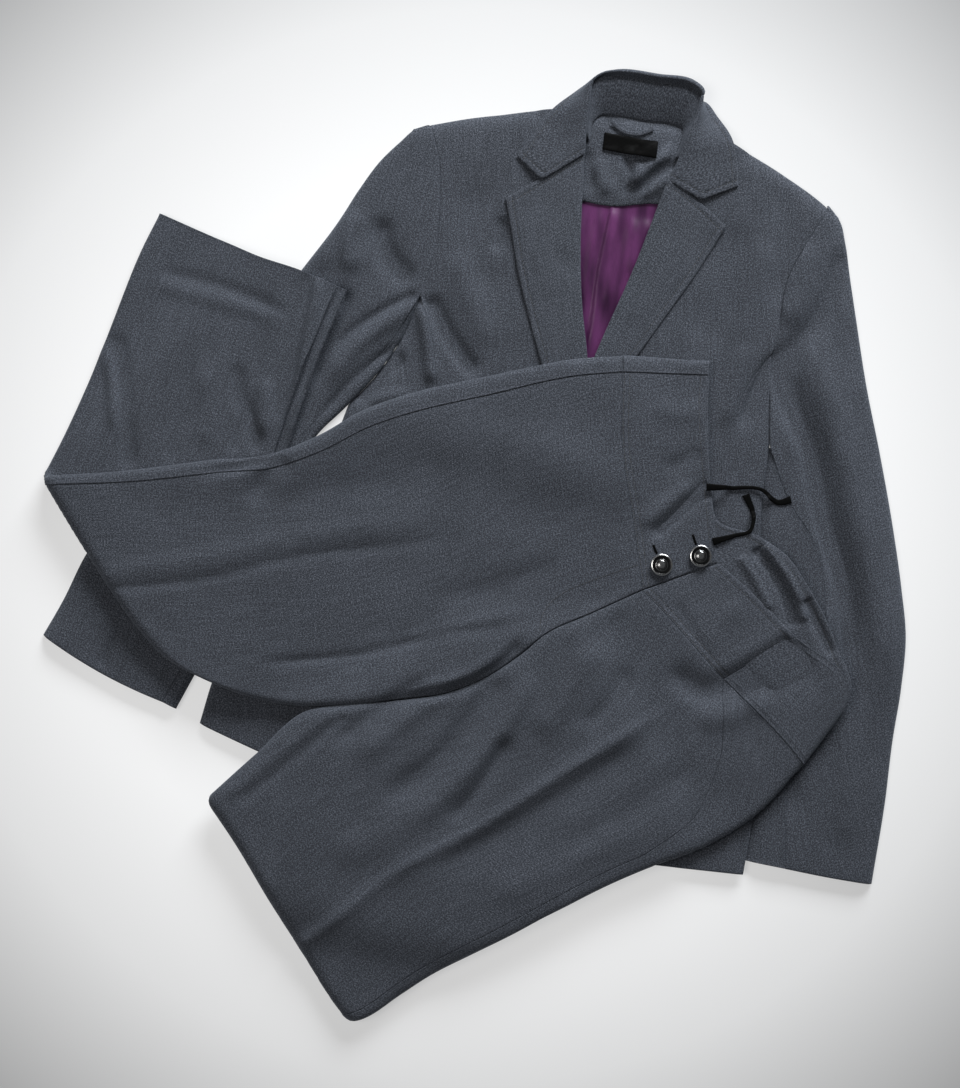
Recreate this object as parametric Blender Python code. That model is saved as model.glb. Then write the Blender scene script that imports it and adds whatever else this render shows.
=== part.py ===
"""Charcoal trouser suit laid out flat: the jacket lies front up, the trousers lie folded across it.

Sizes are millimetres. Each garment has its own frame: x runs across it, y runs down it from the
neck or the waist. The wearer's right side is on the negative side of x.
"""
import math
from collections import namedtuple

import bmesh
import bpy
import numpy as np

MM = 0.001

# Cloth
WALL = 1.6            # thickness of a cut piece
HALF = WALL / 2
THIN = 1.0            # thickness of ribbon, loop and label
SEAM = 0.2            # each piece stops this far short of its seam line
CLEAR = 0.3           # air between layers that rest on each other

# Heights of the middle of the cloth above the surface the suit lies on
FLOOR_LAYER = HALF
LINING_LAYER = WALL + CLEAR + HALF
BODY_LAYER = 8.0      # fronts and sleeves, away from their edges
EDGE_LAYER = 1.1      # where an outer edge rolls down to the surface
LAPPED_EDGE = 6.0     # the left side edge of the body, which laps over the sleeve
TUCKED_EDGE = 2.6     # the sleeve's inner edge under it
TUCK = 3.0            # how far it reaches under
UNDER_TURN = 3.0      # width in which an under sleeve turns underneath
EDGE_ROLL = 16.0      # width of that roll
BLUNT = 0.16          # share of the first row cut off where a piece runs to a point
UNDER_BLUNT = 0.3     # the same for an under sleeve
INSET = 5.0           # the hidden layer stops this far inside the rolled edge

# Trouser legs
LEG_RISE = 6.4        # from the back layer up to the front layer
LOWER_RISE = 4.2      # the same below the knee, pressed flatter
LEG_ROLL = 9.0        # width of the rounded side of a leg
KNEE_ROLL = 10.0      # width of the rounded knee fold
KNEE_NEST = 9.0       # the inner layer turns this far inside the outer one
INNER_DROP = 0.3      # how high the inside leg edge stays, as a share of the rise
INNER_ROLL = 10.0     # width of that drop
OUTER_NEST = 3.0      # where the back layer starts in from the outer edge, and ends at the inner one
INNER_NEST = 10.0
CROTCH = 0.22         # share of the way to the knee at which the legs part
LAY = 0.5             # extra air where one garment rests on another

# Height map used to rest one garment on another
CELL = 4.0
MAP_HALF_X = 440.0
MAP_HALF_Y = 480.0

Frame = namedtuple("Frame", "origin_x origin_y turn")
JACKET = Frame(161.4, 419.4, 14.1)
TROUSERS = Frame(224.6, -14.9, 64.7)

# Jacket lines, each from the neck end down to the hem end
RIGHT_ARMHOLE = [(-189, 76), (-174, 105), (-164, 139), (-157, 193), (-160, 232)]
RIGHT_UNDERARM = [(-160, 232), (-168, 278), (-184, 318), (-200, 346)]
RIGHT_PRINCESS = [(-160, 232), (-144, 260), (-124, 313), (-106, 395), (-98, 498), (-107, 606),
                  (-121, 693)]
RIGHT_SIDE = [(-200, 346), (-205, 385), (-219, 447), (-242, 536), (-260, 625), (-262, 667)]
RIGHT_ROLL = [(-49, 28), (-50, 52), (-46, 74), (-39, 109), (-29, 155), (-13, 211), (2, 251), (22, 330)]
RIGHT_EDGE = [(22, 330), (22, 478), (23, 602), (26, 703)]
LEFT_ARMHOLE = [(188, 62), (175, 101), (167, 134), (170, 190), (169, 206)]
LEFT_UNDERARM = [(169, 206), (178, 248), (188, 289)]
LEFT_PRINCESS = [(169, 206), (155, 238), (151, 303), (148, 369), (158, 463), (178, 573), (203, 688)]
LEFT_SIDE = [(188, 289), (191, 319), (213, 430), (233, 521), (256, 617), (261, 680)]
LEFT_ROLL = [(45, 10), (46, 40), (38, 82), (27, 168), (13, 245), (1, 330)]
LEFT_EDGE = [(1, 330), (-10, 380), (-12, 478), (-12, 602), (-12, 703)]
RIGHT_HEM = [(-262, 667), (-200, 679), (-121, 693)]
RIGHT_FRONT_HEM = [(-121, 693), (-52, 702), (26, 703)]
LEFT_FRONT_HEM = [(-12, 703), (92, 701), (203, 688)]
LEFT_HEM = [(203, 688), (261, 680)]
RIGHT_SHOULDER = [(-189, 76), (-155, 61), (-128, 51), (-84, 35.5), (-49, 28)]
LEFT_SHOULDER = [(45, 12), (95, 27.5), (141, 42), (180, 58), (188, 62)]
BACK_TOP = [(-187, 83), (-155, 67), (-128, 57), (-84, 42), (-49, 33), (-20, 28), (20, 26), (45, 25),
            (95, 33), (141, 48), (186, 68)]
RIGHT_TURNED = [(-189, 76), (-155, 61), (-128, 51), (-98, 40.5)]    # where the shoulder edge rolls down
LEFT_TURNED = [(105, 31), (141, 42), (188, 62)]
BACK_HEM = [(-262, 664), (-121, 689), (0, 699), (203, 684), (261, 676)]

# Sleeves: outer edges, hidden inner edges and the seam that shows
RIGHT_SLEEVE_OUT = [(-190, 76), (-202, 83), (-212, 97), (-226, 119), (-239, 150), (-250, 183),
                    (-272, 234), (-304, 308), (-346, 407), (-383, 491), (-403, 542), (-413, 588),
                    (-423, 623)]
RIGHT_SLEEVE_IN = [(-200, 346), (-221, 380), (-235, 429), (-253, 513), (-272, 601), (-287, 659)]
LEFT_SLEEVE_OUT = [(186, 58), (201, 70), (211, 89), (223.5, 120), (238, 155), (262, 212), (289, 269),
                   (319, 336), (340, 388), (354, 428), (362, 478), (366, 526), (373, 582), (379.5, 660)]
LEFT_SLEEVE_SEAM = [(188, 289), (214, 330), (257, 375), (275, 425), (287, 507), (281, 586), (297, 665)]
LEFT_SLEEVE_IN = [(185, 289), (188, 319), (210, 430), (230, 521), (253, 617), (258, 667)]
RIGHT_CUFF = [(-423, 623), (-384, 637), (-362, 643.5), (-323, 652), (-299.6, 655.7)]
LEFT_CUFF = [(297, 665), (332, 663.5), (379.5, 660)]
SLEEVE_SEAM_INSET = 13.0

# Lapels: fold side and free side, from the notch down
RIGHT_LAPEL_FREE = [(-105, 126), (-96, 146), (-78, 188), (-56, 230), (-37, 264), (-4, 318), (18, 334)]
RIGHT_LAPEL_FOLD = [(-46, 76), (-39, 109), (-29, 155), (-13, 211), (2, 251), (22, 330)]
LEFT_LAPEL_FREE = [(99, 102), (83, 151), (66, 194), (49, 237), (21, 305), (5, 334)]
LEFT_LAPEL_FOLD = [(38, 82), (27, 168), (13, 245), (1, 330)]

# Collar, round the neck from the right front to the left front: x, y and height
COLLAR_ROLL = [(-46, 71, 13.5), (-51, 46, 16), (-54, 22, 19), (-54, 3, 20), (-46, -6, 19.5),
               (-38, -9.5, 19), (4, -15.5, 18), (38, -17, 19), (46, -13, 19.5), (49, 7, 20),
               (46, 29, 19), (44, 50, 16), (39, 75, 13.5)]
COLLAR_EDGE = [(-104, 86, 11.5), (-95, 61, 11.5), (-82, 34, 10.8), (-70, 18.5, 5), (-58, 6, 2),
               (-40, 6, 1.1), (4, 6, 1.0), (36, 2, 1.1), (52, -7, 2), (68, 5, 5), (85, 22, 10.8),
               (95, 43, 11.5), (101, 63, 11.5)]
RIGHT_NOTCH = (-77, 102)
LEFT_NOTCH = (71, 84)
STAND_SEAM = [(-43, 56, 8.6), (-44, 38, 7.0), (-38, 29, 4.6), (-26, 26.0, 3.4), (4, 23.6, 3.1),
              (28, 20.6, 3.4), (38, 22, 4.6), (40, 34, 7.0), (38, 52, 8.6)]
STAND_SPAN = (0.1, 0.9)    # share of the collar that the stand reaches
BACK_SAG = -5.2            # how the fall bows behind the neck, and over the shoulders
SIDE_BULGE = 1.5

# Back neck
FACING_TOP = [(-41, 31), (-26, 27.4), (4, 25.0), (28, 22.0), (38, 24)]
FACING_RIGHT = [(-41, 31), (-60, 60), (-64, 110)]
FACING_LEFT = [(38, 24), (58, 50), (62, 97)]
FACING_LOW = [(-64, 110), (-7, 108), (33, 96), (62, 97)]
LINING_RIGHT = [(-64, 110), (-120, 190), (-150, 300), (-180, 420), (-215, 540), (-236, 640)]
LINING_LEFT = [(62, 97), (120, 170), (150, 290), (180, 420), (212, 540), (235, 640)]
LINING_LOW = [(-236, 640), (0, 676), (235, 640)]
LINING_PLEAT = [(-7, 110), (-8, 137), (-4, 177), (2, 255)]
LAP_LINE = [(7, 255), (8, 330), (6, 478), (6, 703)]
LABEL_CORNERS = [(-31, 44), (19, 41), (21, 57), (-29, 60)]
LOOP_LINE = [(-27, 32), (-18, 38), (0, 38), (12, 30)]
LOOP_WIDTH = 4.0

# Trouser lines, from the waist seam down to the knee fold
RIGHT_LEG_OUT = [(-210, -2), (-226, 38), (-246, 116), (-259, 171), (-266, 232), (-263, 286),
                 (-268, 334), (-284, 380), (-310, 458), (-339, 530)]
RIGHT_LEG_IN = [(-8, 74), (-9, 125), (-10, 171), (-2, 203), (3, 240), (1, 274), (-13, 319), (-32, 372),
                (-52, 414), (-82, 451), (-112, 478)]
RIGHT_WAIST_SEAM = [(-210, -2), (-137, 34), (-61, 57), (-8, 74)]
RIGHT_KNEE = [(-339, 530), (-314, 527.5), (-270, 523), (-216, 516), (-172, 508), (-138, 496), (-112, 478)]
LEFT_LEG_OUT = [(202, 9), (226, 70), (231, 120), (225, 180), (223.5, 220), (225, 277), (227, 318),
                (228, 360), (230, 402), (234.5, 435), (240, 477), (238, 490)]
LEFT_LEG_IN = [(-7, 74), (-8, 125), (-9, 171), (-1, 203), (4, 240), (2, 274), (-11, 319), (-29, 366),
               (-39, 399), (-23, 460), (-5, 520)]
LEFT_WAIST_SEAM = [(202, 9), (184, 13), (94, 43), (4, 70), (-7, 74)]
LEFT_KNEE = [(238, 490), (205, 496), (173, 499.5), (108, 507), (43, 513), (-5, 520)]

# Below the knee, from the fold to the hem
RIGHT_LOW_OUT = [(-339, 530), (-369, 492), (-402, 454), (-436, 417), (-464, 388), (-491, 358),
                 (-515, 327)]
RIGHT_LOW_IN = [(-112, 478), (-166, 411), (-272, 308), (-325, 256), (-375, 200)]
RIGHT_LEG_HEM = [(-515, 327), (-485, 301), (-462, 281), (-439, 261), (-411, 232), (-375, 200)]
LEFT_LOW_OUT = [(238, 490), (214, 400), (210, 328), (204, 190)]
LEFT_LOW_IN = [(-5, 520), (8, 420), (16, 325), (22, 190)]
LEFT_LEG_HEM = [(204, 190), (22, 190)]

# How far the outside seam lies in from the outer edge: share of the way to the knee, distance
RIGHT_SEAM_INSET = [(0.0, 15), (0.3, 18), (0.6, 13), (1.0, 9)]
LEFT_SEAM_INSET = [(0.0, 108), (0.1, 66), (0.22, 30), (0.35, 13), (1.0, 9)]

# Waistband edges, from the outer side to the front opening
RIGHT_BAND_TOP = [(-172, -72), (-140, -53), (-91, -33), (-42, -15), (-1, 0)]
LEFT_BAND_TOP = [(174, -43), (156, -59), (88, -34), (40, -17), (1, -1)]
BACK_BAND_TOP = [(-172, -72), (-120, -46), (-60, -22), (-38, -16), (-7, -40), (21, -52), (53, -50),
                 (90, -56), (120, -56), (156, -61), (174, -43)]
BACK_BAND_LOW = [(-210, -5), (-137, 29), (-61, 51), (-7, 66), (94, 36), (184, 7), (202, 4)]
BAND_RISE = 5.0

# Creases and folds: the line, its half width and its height, down when negative
Fold = namedtuple("Fold", "line half_width height")
BODY_FOLDS = [
    Fold([(-161, 243), (-130, 272), (-100, 300)], 16, 5),
    Fold([(-120, 120), (-135, 200), (-150, 232)], 26, 2),
    Fold([(110, 110), (120, 190), (150, 260)], 26, 2),
    Fold([(175, 235), (205, 290), (240, 360)], 14, 3),
]
SLEEVE_FOLDS = [
    Fold([(-200, 150), (-232, 230), (-262, 300)], 20, 4),
    Fold([(-180, 215), (-215, 260), (-255, 330)], 9, -3),
    Fold([(-370, 600), (-345, 550), (-320, 500)], 10, -2),
    Fold([(215, 150), (238, 230), (275, 330), (310, 420), (325, 520), (335, 640)], 26, 5),
    Fold([(182, 215), (205, 285), (243, 350), (262, 430), (263, 480)], 16, -5),
]
LEG_FOLDS = [
    Fold([(-250, 505), (-190, 400), (-145, 290), (-110, 200)], 9, 2.5),
    Fold([(-236, 60), (-246, 140), (-252, 220), (-246, 300), (-250, 360)], 10, -3),
    Fold([(-190, 150), (-180, 260), (-200, 380)], 34, 2),
    Fold([(-52, 190), (-60, 280), (-80, 400)], 14, -3),
    Fold([(-22, 190), (-36, 260), (-50, 340)], 10, 2),
    Fold([(86, 110), (98, 170), (110, 290), (122, 400), (122, 500)], 8, 2.5),
    Fold([(10, 190), (40, 300), (60, 420), (70, 490)], 26, 4),
    Fold([(55, 230), (85, 320), (120, 400)], 13, -3),
    Fold([(30, 90), (62, 96), (94, 60), (110, 45)], 12, -3),
    Fold([(150, 60), (170, 200), (175, 330)], 30, 2.5),
]
LOWER_FOLDS = [
    Fold([(-470, 300), (-400, 370), (-330, 450)], 10, 2),
    Fold([(-440, 400), (-405, 440), (-370, 500)], 12, -2),
    Fold([(-390, 230), (-340, 300), (-270, 370)], 10, -2.5),
]

# Buttons and ribbon loops
BUTTONS = [("waist_button_outer", -21, 48), ("waist_button_inner", -13, 12)]
BUTTON_RADIUS = 9.8
BUTTON_PROFILE = [(0.0, 2.6), (0.55, 2.4), (0.68, 3.4), (0.86, 3.6), (0.97, 2.8), (1.0, 1.6),
                  (0.94, 0.6), (0.6, 0.0)]
RIBBON_WIDTH = 5.0
RIBBON_OUTER = [(-68, -20), (-58, -40), (-44, -66), (-26, -76), (-24, -87)]
RIBBON_INNER = [(-20, -4), (-16, -27), (-14, -38), (-26, -49), (-46, -51)]

Leg = namedtuple("Leg", "out inner waist knee low_out low_inner hem inset")
RIGHT_LEG = Leg(RIGHT_LEG_OUT, RIGHT_LEG_IN, RIGHT_WAIST_SEAM, RIGHT_KNEE,
                RIGHT_LOW_OUT, RIGHT_LOW_IN, RIGHT_LEG_HEM, RIGHT_SEAM_INSET)
LEFT_LEG = Leg(LEFT_LEG_OUT, LEFT_LEG_IN, LEFT_WAIST_SEAM, LEFT_KNEE,
               LEFT_LOW_OUT, LEFT_LOW_IN, LEFT_LEG_HEM, LEFT_SEAM_INSET)


def smooth(points, count):
    """Evenly spaced points on a smooth line through the given ones."""
    given = np.asarray(points, float)
    steps = np.linalg.norm(np.diff(given[:, :2], axis=0), axis=1)
    run = np.concatenate([[0.0], np.cumsum(steps)])
    slope = np.gradient(given, run, axis=0)
    wanted = np.linspace(0, run[-1], count)
    i = np.clip(np.searchsorted(run, wanted, side="right") - 1, 0, len(given) - 2)
    span = (run[i + 1] - run[i])[:, None]
    u = (wanted - run[i])[:, None] / span
    start = (2 * u**3 - 3 * u**2 + 1) * given[i] + (u**3 - 2 * u**2 + u) * span * slope[i]
    end = (3 * u**2 - 2 * u**3) * given[i + 1] + (u**3 - u**2) * span * slope[i + 1]
    return start + end


def chain(*runs):
    """Joins smooth lines end to end; each run is (points, count) and shares its first point."""
    lines = [smooth(points, count) for points, count in runs]
    return np.vstack([lines[0]] + [line[1:] for line in lines[1:]])


def along(line, share):
    """Points at the given shares of a line's length; share may be an array of any shape."""
    steps = np.linalg.norm(np.diff(line, axis=0), axis=1)
    run = np.concatenate([[0.0], np.cumsum(steps)])
    at = np.clip(share, 0, 1) * run[-1]
    return np.stack([np.interp(at, run, line[:, k]) for k in range(line.shape[1])], axis=-1)


def patch(left, right, s, t, ends, top=None, bottom=None):
    """Fills the area between two edges; s runs across, t runs down, ends are the four corners."""
    s = np.broadcast_to(s, np.broadcast_shapes(np.shape(s), np.shape(t)))
    t = np.broadcast_to(t, s.shape)
    across = s[..., None]
    down = t[..., None]
    grid = left * (1 - across) + right * across
    if top is not None:
        flat = ends[0] * (1 - across) + ends[1] * across
        grid = grid + (1 - down) * (along(smooth(top, 60), s) - flat)
    if bottom is not None:
        flat = ends[2] * (1 - across) + ends[3] * across
        grid = grid + down * (along(smooth(bottom, 60), s) - flat)
    return grid


def between(left, right, columns, top=None, bottom=None):
    """A panel between two edges that have the same number of points."""
    s = np.asarray(columns) if np.ndim(columns) else np.linspace(0, 1, columns)
    t = np.linspace(0, 1, len(left))[:, None]
    ends = (left[0], right[0], left[-1], right[-1])
    return patch(left[:, None], right[:, None], s if s.ndim > 1 else s[None, :], t, ends, top, bottom)


def distance(points, line):
    """Distance from each point to a line of straight pieces."""
    p = points[..., None, :]
    a = line[:-1]
    d = line[1:] - a
    u = np.clip(((p - a) * d).sum(-1) / np.maximum((d * d).sum(-1), 1e-9), 0, 1)
    return np.linalg.norm(p - (a + u[..., None] * d), axis=-1).min(-1)


def round_off(reach, radius):
    """Quarter-round rise from 0 at an edge to 1 at the given distance."""
    return np.sqrt(np.clip(1 - (1 - np.clip(reach / radius, 0, 1)) ** 2, 0, 1))


def folded(points, folds):
    """Height that the creases and folds add at each point."""
    total = np.zeros(points.shape[:-1])
    for fold in folds:
        reach = distance(points, smooth(fold.line, 12))
        total += fold.height * np.exp(-(reach / fold.half_width) ** 2)
    return total


def raised(grid, folds, edges, low=EDGE_LAYER):
    """Height of a top layer: full height with its folds, rolled down at its outer edges."""
    reach = np.full(grid.shape[:-1], 1e3)
    for edge in edges:
        reach = np.minimum(reach, distance(grid, smooth(edge, 40)))
    rise = BODY_LAYER + folded(grid, folds) - low
    return low + rise * round_off(reach, EDGE_ROLL)


def place(frame, grid, height):
    """Turns frame points and heights into points on the shared surface."""
    turn = math.radians(frame.turn)
    x = grid[..., 0]
    y = grid[..., 1]
    across = frame.origin_x + x * math.cos(turn) - y * math.sin(turn)
    down = frame.origin_y - x * math.sin(turn) - y * math.cos(turn)
    return np.stack([across, down, np.broadcast_to(height, x.shape)], axis=-1)


def trimmed(grid, sides="LRTB", pulled=SEAM):
    """Pulls the named borders back from their seam lines, without changing heights."""
    out = grid.copy()
    moves = {"L": (np.s_[:, 0], np.s_[:, 1]), "R": (np.s_[:, -1], np.s_[:, -2]),
             "T": (np.s_[0, :], np.s_[1, :]), "B": (np.s_[-1, :], np.s_[-2, :])}
    for side in sides:
        edge, inner = moves[side]
        pull = (grid[inner] - grid[edge])[..., :2]
        length = np.maximum(np.linalg.norm(pull, axis=-1, keepdims=True), 1e-6)
        out[edge][..., :2] += pull / length * np.minimum(pulled, length * 0.3)
    return out


def normals(grid):
    """Unit normals of a grid of points, facing up where the grid lies flat."""
    across = np.gradient(grid, axis=1)
    down = np.gradient(grid, axis=0)
    normal = np.cross(across, down)
    normal /= np.maximum(np.linalg.norm(normal, axis=-1, keepdims=True), 1e-9)
    return normal


class HeightMap:
    """Highest point reached so far over a square grid of the surface."""

    def __init__(self):
        self.columns = int(2 * MAP_HALF_X / CELL) + 1
        self.rows = int(2 * MAP_HALF_Y / CELL) + 1
        self.height = np.zeros((self.rows, self.columns))

    def stamp(self, grid):
        """Records the upper face of a piece."""
        more = int(max(np.linalg.norm(np.diff(grid, axis=k), axis=-1).max() for k in (0, 1)) / 3) + 1
        for axis in (0, 1):
            old = np.arange(grid.shape[axis])
            new = np.linspace(0, old[-1], old[-1] * more + 1)
            low = np.minimum(new.astype(int), old[-1] - 1)
            share = (new - low).reshape((-1, 1, 1) if axis == 0 else (1, -1, 1))
            grid = np.take(grid, low, axis) * (1 - share) + np.take(grid, low + 1, axis) * share
        column = ((grid[..., 0] + MAP_HALF_X) / CELL).round().astype(int)
        row = ((grid[..., 1] + MAP_HALF_Y) / CELL).round().astype(int)
        np.maximum.at(self.height, (row.ravel(), column.ravel()), grid[..., 2].ravel())

    def support(self, spread, soften):
        """A smooth surface that clears everything within the spread."""
        reach = int(spread / CELL) + 1
        out = self.height
        for axis in (0, 1):
            pad = [(reach, reach) if k == axis else (0, 0) for k in (0, 1)]
            wide = np.pad(out, pad)
            size = out.shape[axis]
            out = np.max([np.take(wide, range(k, k + size), axis) for k in range(2 * reach + 1)], axis=0)
        blur = int(soften / CELL)
        for axis in (0, 1, 0, 1):
            pad = [(blur, blur) if k == axis else (0, 0) for k in (0, 1)]
            wide = np.pad(out, pad, mode="edge")
            size = out.shape[axis]
            out = np.mean([np.take(wide, range(k, k + size), axis) for k in range(2 * blur + 1)], axis=0)
        return out

    def read(self, surface, grid):
        """Height of a surface at the placed points."""
        x = np.clip((grid[..., 0] + MAP_HALF_X) / CELL, 0, self.columns - 1.001)
        y = np.clip((grid[..., 1] + MAP_HALF_Y) / CELL, 0, self.rows - 1.001)
        column = x.astype(int)
        row = y.astype(int)
        u = x - column
        v = y - row
        near = surface[row, column] * (1 - u) + surface[row, column + 1] * u
        far = surface[row + 1, column] * (1 - u) + surface[row + 1, column + 1] * u
        return near * (1 - v) + far * v


MATERIALS = {
    "suiting": ((0.035, 0.038, 0.046, 1), 0.85, 0.0),
    "lining": ((0.09, 0.012, 0.10, 1), 0.35, 0.0),
    "satin": ((0.006, 0.006, 0.007, 1), 0.3, 0.0),
    "button_metal": ((0.22, 0.22, 0.24, 1), 0.25, 1.0),
}
made = []


def material(name, slot):
    """A plain material of its own for one piece."""
    colour, roughness, metallic = MATERIALS[slot]
    new = bpy.data.materials.new(name + "_" + slot)
    new.use_nodes = True
    shader = new.node_tree.nodes["Principled BSDF"]
    shader.inputs["Base Color"].default_value = colour
    shader.inputs["Roughness"].default_value = roughness
    shader.inputs["Metallic"].default_value = metallic
    return new


def solid(name, points, faces, slot):
    """One closed piece from its points in millimetres."""
    mesh = bpy.data.meshes.new(name)
    mesh.from_pydata([tuple(p) for p in points * MM], [], faces)
    mesh.materials.append(material(name, slot))
    work = bmesh.new()
    work.from_mesh(mesh)
    bmesh.ops.recalc_face_normals(work, faces=work.faces)
    work.to_mesh(mesh)
    work.free()
    piece = bpy.data.objects.new(name, mesh)
    bpy.context.collection.objects.link(piece)
    made.append(piece)
    return piece


def cloth(name, grid, slot="suiting", wall=WALL, upright="LRTB"):
    """A sheet of cloth with its wall centred on a grid of points; upright borders stand at seams."""
    side = normals(grid)
    up = np.array([0.0, 0.0, 1.0])
    flip = np.where((side * up).sum(-1, keepdims=True).sum() < 0, -1.0, 1.0)
    side = side * flip
    borders = {"L": np.s_[:, 0], "R": np.s_[:, -1], "T": np.s_[0, :], "B": np.s_[-1, :]}
    for border in upright:
        at = borders[border]
        lies = np.abs(side[at][..., 2:]) > 0.5
        side[at] = np.where(lies, up * np.sign(side[at][..., 2:]), side[at])
    rows, columns = grid.shape[:2]
    over = (grid + side * wall / 2).reshape(-1, 3)
    under = (grid - side * wall / 2).reshape(-1, 3)
    count = rows * columns
    index = np.arange(count).reshape(rows, columns).tolist()
    faces = []
    for r in range(rows - 1):
        for c in range(columns - 1):
            corner = [index[r][c], index[r][c + 1], index[r + 1][c + 1], index[r + 1][c]]
            faces.append(corner)
            faces.append([k + count for k in reversed(corner)])
    side = [row[-1] for row in index[:-1]]
    back = [row[0] for row in index[:0:-1]]
    ring = index[0][:-1] + side + index[-1][:0:-1] + back
    for a, b in zip(ring, ring[1:] + ring[:1]):
        faces.append([b, a, a + count, b + count])
    solid(name, np.vstack([over, under]), faces, slot)
    return over.reshape(grid.shape), under.reshape(grid.shape)


def sheet(name, frame, grid, height, slot="suiting", pulled=SEAM, maps=()):
    """Trims, places and builds a sheet that lies face up, and records it on the maps."""
    placed = trimmed(place(frame, grid, height), pulled=pulled)
    over, _ = cloth(name, placed, slot)
    for height_map in maps:
        height_map.stamp(over)
    return placed


def jacket_body(below):
    """Back, lining, facing and fronts."""
    right = chain((RIGHT_ARMHOLE, 5), (RIGHT_UNDERARM, 4), (RIGHT_SIDE, 7))
    left = chain((LEFT_ARMHOLE, 5), (LEFT_UNDERARM, 4), (LEFT_SIDE, 7))
    width = np.linalg.norm(right - left, axis=1)[:, None]
    drop = np.array([0] * 5 + [1] * 9)[:, None] * INSET / width
    columns = np.linspace(0, 1, 10)[None, :]
    s = columns * (1 - 2 * drop) + drop
    back = between(right, left, s, BACK_TOP, BACK_HEM)
    sheet("jacket_back", JACKET, back, FLOOR_LAYER, maps=[below])

    facing = between(smooth(FACING_RIGHT, 5), smooth(FACING_LEFT, 5), 9, FACING_TOP, FACING_LOW)
    sheet("back_neck_facing", JACKET, facing, LINING_LAYER, maps=[below])
    lining = between(smooth(LINING_RIGHT, 10), smooth(LINING_LEFT, 10), 9, FACING_LOW, LINING_LOW)
    pleat = [Fold(LINING_PLEAT, 9, 2.2)]
    sheet("back_lining", JACKET, lining, LINING_LAYER + folded(lining, pleat), "lining", maps=[below])

    lowest = LINING_LAYER + WALL + 2 * CLEAR
    opening = chain((LEFT_ROLL, 9), (LEFT_EDGE, 8))
    outer = chain((LEFT_ARMHOLE, 6), (LEFT_PRINCESS, 11))
    left_front = between(opening, outer, 8, LEFT_SHOULDER, LEFT_FRONT_HEM)
    lap = np.exp(-(distance(left_front, smooth(LAP_LINE, 20)) / 45) ** 2)
    height = raised(left_front, BODY_FOLDS, [LEFT_TURNED]) - 2.2 * lap
    over_lining = np.maximum(height, lowest + folded(left_front, pleat))
    height = np.where(left_front[..., 1] > 110, over_lining, height)
    sheet("jacket_left_front", JACKET, left_front, height, maps=[below])
    opening = chain((RIGHT_ROLL, 9), (RIGHT_EDGE, 8))
    outer = chain((RIGHT_ARMHOLE, 6), (RIGHT_PRINCESS, 11))
    right_front = between(outer, opening, 8, RIGHT_SHOULDER, RIGHT_FRONT_HEM)
    lap = np.exp(-(distance(right_front, smooth(LAP_LINE, 20)) / 60) ** 2)
    height = raised(right_front, BODY_FOLDS, [RIGHT_TURNED]) + 1.2 * lap
    sheet("jacket_right_front", JACKET, right_front, height, maps=[below])

    outer = chain((RIGHT_UNDERARM, 5), (RIGHT_SIDE, 7))
    inner = smooth(RIGHT_PRINCESS, 11)
    right_side = between(outer, inner, edge_columns(outer, inner), None, RIGHT_HEM)
    height = raised(right_side, BODY_FOLDS, [RIGHT_UNDERARM, RIGHT_SIDE])
    sheet("jacket_right_side_front", JACKET, blunt(right_side), blunt(height), maps=[below])
    outer = chain((LEFT_UNDERARM, 4), (LEFT_SIDE, 8))
    inner = smooth(LEFT_PRINCESS, 11)
    left_side = between(inner, outer, 1 - edge_columns(outer, inner)[:, ::-1], None, LEFT_HEM)
    height = raised(left_side, BODY_FOLDS, [LEFT_UNDERARM, LEFT_SIDE], LAPPED_EDGE)
    sheet("jacket_left_side_front", JACKET, blunt(left_side), blunt(height), pulled=3 * SEAM, maps=[below])


def edge_columns(outer, inner):
    """Shares of the width of a side panel, closer together at its outer edge where it is wide."""
    width = np.linalg.norm(outer - inner, axis=1)[:, None]
    narrow = np.clip(1 - width / 60, 0, 1)
    close = np.array([0, 0.04, 0.1, 0.3, 0.6, 1.0])
    return close * (1 - narrow) + np.linspace(0, 1, len(close)) * narrow


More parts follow.
